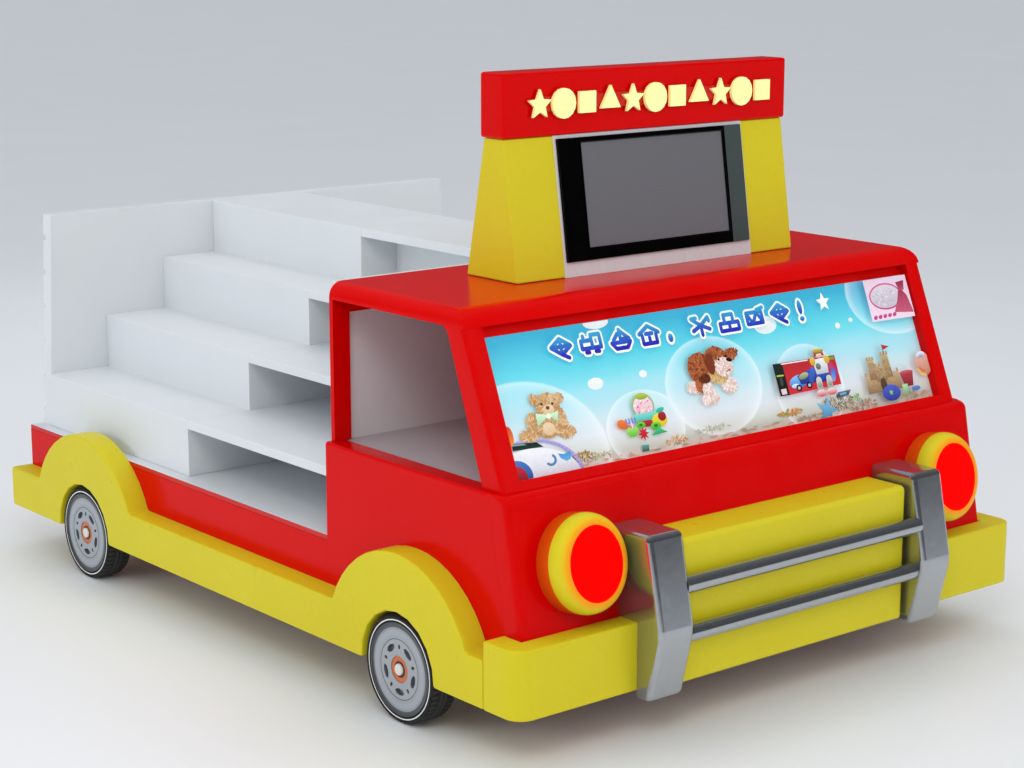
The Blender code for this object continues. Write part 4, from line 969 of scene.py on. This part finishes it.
def drawToyCar(art):
    # the front of a ride-on car, cut off by the poster's corner
    art.ring(8, -1, 21.5, 13.6, 0.93, 5, 140, "#B9AEE2", "#8C84C8")
    art.disc(8, -1, 20, 10.6, "#F2F3F8", "#CFD4DE", sides=48)
    art.fill([(2.4, 9.8), (15.0, 9.4), (12.6, 11.2), (2.6, 12.0)], "#0E1614", "#20403A")
    art.fill([(2.5, 11.3), (8.6, 10.9), (7.2, 11.5), (2.6, 11.9)], "#7FA39A")
    art.disc(2.2, 1.4, 6.0, 5.2, "#3E78C8", "#24549E")
    art.disc(1.6, 1.0, 4.4, 3.8, "#C81E32", "#8E1226")
    art.fill([(20.0, 6.3), (22.4, 5.8), (25.4, 6.4), (24.8, 4.0), (23.0, 3.4), (20.8, 4.6)], "#3F8FD0",
             "#5DB0E4")
    art.ring(16.6, 4.8, 2.4, 2.0, 0.6, -150, 60, "#4F92C8", "#2A6AA8")
    art.disc(2.4, 14.6, 1.6, 3.2, "#D83018", "#F0902A")


def drawPlaySet(art):
    # a heap of small beach toys: a flower wheel, a bucket, a rake and a spiked ball
    art.disc(59.9, 16.4, 4.9, 4.3, "#A9C04A", "#59B4A0")
    art.disc(59.9, 16.1, 4.3, 3.7, "#F4DCE6", "#E9A9C2")
    art.fur(59.9, 16.0, 3.6, 3.0, ("#D93A5C", "#F0E27A", "#E988A8", "#FFFFFF"), 46, 5, 0.55)
    art.disc(60.2, 19.4, 2.6, 0.9, "#C6C832", "#6AA63C")
    art.bar(55.6, 12.7, 66.4, 12.6, 2.6, "#7FDCD0", "#39B5A8")
    art.bar(56.6, 10.4, 61.4, 10.3, 2.2, "#C8202E", "#8E1020")
    art.disc(65.7, 10.7, 3.4, 2.3, "#F4E021", "#D8B410")
    art.disc(67.0, 11.8, 1.8, 1.6, "#B01830", "#8A0E22")
    for x, y, rx, ry in ((56.9, 10.1, 2.0, 1.2), (63.4, 9.0, 2.3, 1.3)):
        art.disc(x, y, rx, ry, "#6CDC3C", "#38A81E")
        art.disc(x, y + 0.1, rx * 0.4, ry * 0.4, "#2E7A18")
    art.disc(52.8, 8.9, 2.6, 1.2, "#A5E86A", "#66C23A")
    art.fill([(50.4, 8.8), (55.3, 8.8), (54.0, 6.8), (51.4, 6.8)], "#86D84A", "#5CB830")
    art.disc(49.2, 11.4, 2.4, 1.6, "#F08030", "#D65A14", turn=-18)
    art.bar(51.2, 10.7, 53.6, 9.7, 0.7, "#E86A1C")
    for x in (51.0, 52.3, 53.6, 54.9):
        art.bar(x, 12.9, x + 0.1, 11.6, 0.5, "#6C6FC4")
    art.bar(51.0, 11.5, 55.0, 11.4, 0.6, "#8488D8")
    art.bar(53.0, 11.4, 53.2, 9.9, 0.7, "#D6D8F0")
    art.star(57.2, 7.2, 2.6, 1.2, 8, "#D81428", "#B00C1E")
    art.fill([(60.4, 6.0), (67.8, 6.3), (66.0, 7.3), (64.2, 8.4), (62.4, 7.2)], "#3CCB84", "#1E9E60")
    art.disc(66.8, 14.0, 1.9, 0.8, "#38CDA8", "#1FA487", turn=12)


def drawPuppy(art):
    # a plush puppy: paws and back, then the chest, the head, the muzzle and the ears
    brown, pale = ("#9E4E2A", "#C0703C", "#7A3418", "#B4622E"), ("#EFDAD2", "#E2C4BC", "#F6E8E2", "#D4B0A6")
    sandy, dark = ("#C9A25E", "#B98A4A", "#D8BC86"), ("#5A2412", "#6E3018")
    tufts = ((84.2, 19.2, 3.0, 2.2, pale, 50), (100.9, 17.9, 3.8, 2.8, pale, 70),
             (88.6, 19.6, 3.4, 3.0, brown, 60), (89.2, 25.4, 5.8, 5.4, brown, 200),
             (96.6, 22.2, 4.8, 3.4, sandy, 80), (90.4, 17.0, 2.8, 3.6, pale, 50),
             (90.2, 14.4, 4.2, 2.0, pale, 70), (97.0, 28.4, 5.0, 3.6, brown, 120),
             (99.8, 24.4, 4.4, 3.4, pale, 110), (104.4, 28.6, 3.2, 1.9, brown, 60),
             (93.8, 26.2, 1.8, 3.8, brown[2:3], 50), (89.8, 21.4, 2.4, 1.6, dark, 30))
    for x, y, rx, ry, shades, count in tufts:
        art.disc(x, y, rx, ry, shades[0], shades[-1])
        art.fur(x, y, rx * 0.97, ry * 0.97, shades, count, int(x * 10))
    art.disc(102.8, 26.5, 1.4, 0.65, "#241616", "#120A0A", turn=-14)
    for x, y in ((98.0, 27.2), (101.6, 28.0)):
        art.disc(x, y, 0.5, 0.45, "#1E120E")
    art.bar(100.2, 22.6, 102.4, 23.2, 0.3, "#7A4438")


def drawRobotBox(art):
    # a boxed toy car with a robot standing in front of it
    art.fill([(122.6, 10.6), (127.3, 10.5), (127.3, 22.1), (122.6, 22.2)], "#1C2A26", "#0F1614")
    art.fill([(127.3, 10.5), (153.9, 10.9), (154.0, 21.6), (127.3, 22.1)], "#B81A26", "#D0202C")
    art.fill([(126.6, 21.9), (140.2, 21.7), (140.2, 21.3), (126.6, 21.5)], "#F4E8E8")
    art.bar(123.4, 17.8, 126.4, 17.7, 0.6, "#A8C23C")
    art.fill([(123.6, 11.0), (126.2, 11.0), (126.2, 13.0), (123.6, 13.0)], "#E8C8CE")
    art.bar(124.8, 14.6, 124.9, 16.4, 1.4, "#3C4A46")
    art.disc(133.4, 14.6, 4.9, 2.3, "#86C8F4", "#1C5CC0", turn=6)
    art.fill([(133.0, 16.6), (138.6, 18.0), (143.4, 17.8), (142.0, 13.2), (134.0, 13.4)], "#2A50B8",
             "#163080")
    art.disc(136.2, 16.2, 2.6, 1.1, "#B8C48C", "#6E7C58", turn=12)
    art.disc(131.2, 13.2, 2.0, 0.8, "#DCEFFC", "#8CC4EE")
    for x, y in ((132.6, 12.3), (138.0, 12.6)):
        art.disc(x, y, 1.4, 1.2, "#121418")
        art.disc(x, y, 0.7, 0.6, "#B8BEC4")
    art.bar(149.6, 20.8, 153.2, 20.6, 1.0, "#5EAA3C")
    art.bar(150.2, 18.8, 152.2, 15.4, 2.6, "#D8283A", "#5A48B8")
    art.bar(141.2, 17.6, 139.4, 14.0, 2.4, "#3C68D0", "#27489C")
    art.bar(151.2, 15.8, 150.6, 13.4, 2.2, "#3E68C8", "#7E9CDC")
    art.fill([(142.2, 21.2), (149.6, 21.4), (149.0, 15.6), (143.0, 15.6)], "#F0F0F2", "#B9BEC6")
    art.disc(144.6, 18.6, 1.3, 1.2, "#7E9488", "#4C5E58")
    for x in (142.4, 149.6):
        art.disc(x, 20.6, 1.4, 1.5, "#E8C43C", "#C8962A")
    art.fill([(142.6, 15.8), (149.4, 15.8), (148.6, 12.8), (143.4, 12.8)], "#2C4CB4", "#1C347E")
    for x in (143.2, 148.4):
        art.bar(x, 13.6, x - 0.2, 10.6, 2.8, "#D4D6CE", "#8E948C")
        art.disc(x, 12.0, 1.1, 1.0, "#B2B6AE", "#7C827A")
        art.disc(x - 0.2, 9.0, 2.7, 1.3, "#F2DADC", "#C81C30")
    art.fill([(143.6, 22.2), (148.8, 22.3), (148.4, 24.0), (144.0, 24.0)], "#D2202E", "#B0121F")
    art.disc(146.2, 22.4, 1.5, 0.9, "#F0D8C0", "#D8A890")
    art.disc(146.2, 24.0, 2.8, 0.9, "#E0C23A", "#6E5A2A")


def drawSandToys(art):
    # a sand castle with a bucket, a ball and a beaker on the beach
    sand = ("#B59468", "#A07F58", "#C4A87C", "#8E6C48")
    for x0, x1, y0, y1 in ((166.6, 185.0, 5.2, 11.8), (169.2, 173.4, 10.0, 17.4), (177.0, 181.4, 10.0, 18.6),
                           (172.6, 178.0, 9.0, 14.6)):
        art.fill([(x0, y0), (x1, y0), (x1 - 0.5, y1), (x0 + 0.5, y1)], sand[2], sand[3])
        for k in range(3):
            x = x0 + 0.7 + (x1 - x0 - 1.4) * k / 2
            art.fill([(x - 0.6, y1 - 0.2), (x + 0.6, y1 - 0.2), (x + 0.5, y1 + 1.1), (x - 0.5, y1 + 1.1)],
                     sand[0])
        art.fur((x0 + x1) / 2, (y0 + y1) / 2, (x1 - x0) * 0.42, (y1 - y0) * 0.42, sand, 60, int(x0), 0.5)
    art.disc(175.4, 7.6, 1.6, 2.6, "#5E452E", "#4A3422")
    art.bar(179.2, 18.6, 179.2, 22.2, 0.35, "#6E6A66")
    art.fill([(179.3, 22.2), (183.0, 21.2), (179.3, 20.2)], "#D2323E", "#A81C2C")
    art.ring(188.4, 10.6, 3.6, 3.4, 0.86, 10, 170, "#D8D4D2")
    art.fill([(184.8, 10.6), (192.0, 10.6), (190.6, 5.4), (186.2, 5.4)], "#B8343C", "#7E1A26")
    art.disc(188.4, 10.6, 3.6, 0.8, "#D4606A", "#9C3440")
    art.disc(178.2, 4.2, 4.8, 3.0, "#4A5CCC", "#27348C")
    art.star(178.0, 4.4, 1.2, 0.6, 5, "#8CC23C")
    art.fill([(184.4, 6.4), (187.6, 6.4), (187.0, 2.6), (185.0, 2.6)], "#B4D8AC", "#6EA870")
    art.disc(191.6, 4.2, 2.4, 0.9, "#6E86CC", "#4A5EA4")
    art.disc(198.6, 12.6, 4.2, 4.6, "#E8B4A0", "#C07C66")
    art.ring(198.6, 12.6, 4.2, 4.6, 0.55, 60, 130, "#F4F4F4", "#6C82C4")
    art.ring(198.6, 12.6, 4.2, 4.6, 0.55, 200, 275, "#C8303C", "#F0D060")


def drawCard(art):
    # a pink card with an oval picture, hung at the upper right
    art.fill([(177.8, 30.9), (201.2, 30.6), (201.2, 46.6), (178.0, 46.6)], "#E6CBDB", "#F1D9E6")
    art.disc(188.0, 39.6, 8.8, 5.0, "#D65A92", "#C43C7C", sides=40)
    art.disc(188.0, 39.6, 8.1, 4.4, "#D8D2DC", "#C6BCC8", sides=40)
    art.fur(187.2, 39.6, 6.2, 3.2, ("#BDB2BE", "#E6DCE6", "#CDBFCB"), 40, 3, 0.8)
    art.fill([(190.8, 33.2), (201.0, 32.2), (199.4, 39.0), (197.4, 41.2), (195.4, 41.0), (193.8, 37.6)],
             "#A83254", "#C85878")
    art.fill([(196.0, 41.0), (198.6, 41.0), (199.6, 44.6), (195.0, 44.2)], "#8A2440", "#B84868")
    for x in (180.0, 182.6, 185.2, 187.8, 190.4):
        art.disc(x, 32.3 + (x - 180) * 0.02, 1.1, 0.7, "#D84A9C", "#B42E80", turn=20)


def drawBeach(art):
    # tufts of grass and driftwood, then pebbles, a starfish and small toys in the sand
    dice = random.Random(11)
    blades = ((30.5, 4.0, 4.6, 1.6, ("#A8834C", "#8A6A3A", "#C6A268"), 60),
              (38, 3.0, 6, 1.0, ("#9A9C7A", "#C9B792"), 30),
              (72, 3.0, 5, 1.4, ("#C98448", "#B89A6C", "#D8B48A"), 40),
              (90, 4.4, 9, 1.0, ("#C4C0AC", "#B4AE98"), 40),
              (127, 4.4, 6.4, 1.0, ("#8A9C4A", "#D88A34", "#C86E28", "#B4A468"), 70),
              (152, 4.6, 8.6, 2.6, ("#A79C82", "#8E826A", "#C6BCA4", "#746A56"), 150),
              (163, 2.4, 8.0, 1.6, ("#B4786A", "#8C8470", "#CDBDA6"), 80),
              (191, 2.0, 9.0, 1.2, ("#C0B096", "#A8967A"), 60),
              (138, 1.4, 10, 1.0, ("#9A8C70", "#B8AA90"), 60))
    for x, y, rx, ry, shades, count in blades:
        art.fur(x, y, rx, ry, shades, count, int(x), 0.9)
    for _ in range(90):
        x = dice.uniform(28, 200)
        art.disc(x, dice.uniform(0.4, 2.2), dice.uniform(0.5, 2.0), dice.uniform(0.12, 0.35),
                 dice.choice(("#B7A68A", "#A08E70", "#CDBFA4", "#C79A84")), sides=8)
    art.star(145.3, 2.6, 5.6, 1.9, 5, "#7EC4E8", "#4A94C4", turn=70)
    art.fill([(151.2, 6.4), (157.6, 6.6), (159.4, 8.4), (152.6, 8.2)], "#5A6A72", "#3A4650")
    art.bar(153.6, 7.4, 156.4, 7.5, 0.8, "#6FA4D8")
    art.fill([(55.4, 1.4), (58.4, 1.3), (58.8, 3.4), (55.8, 3.6)], "#5FA89C", "#2E544C")
    art.fur(161.6, 5.2, 1.6, 1.2, ("#7CB84A", "#5E9A38"), 20, 9, 0.6)


def addPosterPrint():
    art = PosterArt()
    for x, y, rx, ry in ((49.4, 46.6, 5.6, 2.2), (43.1, 26.5, 3.4, 2.0), (64.4, 27.0, 1.8, 1.3),
                         (125.9, 36.6, 5.6, 3.2), (161.7, 32.1, 1.3, 1.1), (169.0, 33.4, 1.1, 0.8)):
        art.disc(x, y, rx, ry, "#F4F4F2", "#E6EEF0")  # small clouds
    for draw in (drawBeach, drawToyCar, drawBear, drawPlaySet, drawPuppy, drawRobotBox, drawSandToys,
                 drawCard, drawCaption):
        draw(art)
    art.star(154.8, 41.1, 3.6, 1.6, 5, "#FFFFFF", "#EEF6F8")
    addPiece("posterPrint", art.bm, printInk(), "kiosk", smooth=False, recalculate=False)


addPosterPrint()
print("poster printed")


# studio, lights and camera
studioLook = {"floorSize": 260.0, "floor": "#F0F2F3", "floorDeep": "#EBEDEF", "backdrop": "#BCC0C6",
              "soft": 0.83, "mirror": 0.55, "lampShare": 0.30,
              "room": [(0.0, "#3C3F42"), (0.35, "#54585C"), (0.6, "#787C80"), (1.0, "#D0D4D8")]}
cameraLook = {"place": (-5.256, -6.564, 2.615), "turn": (77.974, 0.0, -39.265), "lens": 77.17, "sensor": 36.0,
              "farthest": 400.0}
lamps = {  # place, aimed at, watts, width, height, colour
    "keyLight": ((-4.6, -5.2, 5.4), (0.0, -0.4, 0.8), 360.0, 3.2, 2.4, "#FFF9F2"),
    "frontLight": ((2.6, -7.0, 3.0), (0.0, -1.2, 0.9), 170.0, 3.0, 3.0, "#FFFFFF"),
    "sideLight": ((-7.0, 1.2, 2.2), (-0.6, 0.8, 0.8), 235.0, 3.0, 2.4, "#F6FAFF"),
    "topLight": ((0.4, 0.8, 6.0), (0.0, 0.4, 0.8), 180.0, 4.0, 4.0, "#FFFFFF"),
    "backLight": ((3.6, 6.0, 4.4), (0.0, 0.6, 0.8), 120.0, 3.0, 3.0, "#F4F8FF"),
}


def studioFloor():
    # matt painted studio floor, faintly uneven
    material, tree, point = startMaterial("studioFloor", {"Roughness": 0.45, "Specular IOR Level": 0.3})
    cloud = addNode(tree, "ShaderNodeTexNoise", {"Vector": point, "Scale": mm(1400), "Detail": 4.0})
    colour = addNode(tree, "ShaderNodeMix", {0: cloud, 6: studioLook["floorDeep"], 7: studioLook["floor"]},
                     data_type="RGBA")
    return finishMaterial(material, colour)


def addFloor():
    half = studioLook["floorSize"] / 2
    bm = bmesh.new()
    bm.faces.new([bm.verts.new((x, y, 0.0)) for x, y in ((-half, -half), (half, -half), (half, half),
                                                         (-half, half))])
    addPiece("floor", bm, studioFloor(), None, smooth=False)


def addLamps():
    for name, (place, target, power, width, height, code) in lamps.items():
        data = bpy.data.lights.new(name, "AREA")
        data.shape = "RECTANGLE"
        data.size = width
        data.size_y = height
        data.energy = power * studioLook["lampShare"]
        data.color = hexColour(code)[:3]
        lamp = bpy.data.objects.new(name, data)
        lamp.location = place
        lamp.visible_glossy = False
        lamp.rotation_euler = (Vector(target) - Vector(place)).to_track_quat("-Z", "Y").to_euler()
        bpy.context.scene.collection.objects.link(lamp)


def addWorld():
    # soft even light; a mirror sees a dim room with a bright ceiling ahead, the camera a pale backdrop
    world = bpy.data.worlds.new("studio")
    world.use_nodes = True
    bpy.context.scene.world = world
    tree = world.node_tree
    tree.nodes.clear()
    ray = addNode(tree, "ShaderNodeLightPath")
    way = addNode(tree, "ShaderNodeTexCoord").outputs["Generated"]
    tilt = addNode(tree, "ShaderNodeVectorMath", {0: way, 1: (0.0, 0.5, 0.866)}, operation="DOT_PRODUCT")
    mirror = addNode(tree, "ShaderNodeValToRGB", {"Fac": tilt}, stops=studioLook["room"])
    soft = addNode(tree, "ShaderNodeBackground", {"Color": (0.92, 0.95, 1.0, 1.0),
                                                  "Strength": studioLook["soft"]})
    seen = addNode(tree, "ShaderNodeBackground", {"Color": studioLook["backdrop"], "Strength": 1.0})
    glossy = addNode(tree, "ShaderNodeBackground", {"Color": mirror, "Strength": studioLook["mirror"]})
    first = addNode(tree, "ShaderNodeMixShader", {0: ray.outputs["Is Glossy Ray"], 1: soft, 2: glossy})
    second = addNode(tree, "ShaderNodeMixShader", {0: ray.outputs["Is Camera Ray"], 1: first, 2: seen})
    addNode(tree, "ShaderNodeOutputWorld", {"Surface": second})


def addCamera():
    data = bpy.data.cameras.new("camera")
    data.lens = cameraLook["lens"]
    data.sensor_width = cameraLook["sensor"]
    data.clip_end = cameraLook["farthest"]
    camera = bpy.data.objects.new("camera", data)
    camera.location = cameraLook["place"]
    camera.rotation_euler = [math.radians(a) for a in cameraLook["turn"]]
    bpy.context.scene.collection.objects.link(camera)
    bpy.context.scene.camera = camera


addFloor()
addLamps()
addWorld()
addCamera()
bpy.context.scene.view_settings.view_transform = "Standard"
print("studio ready")
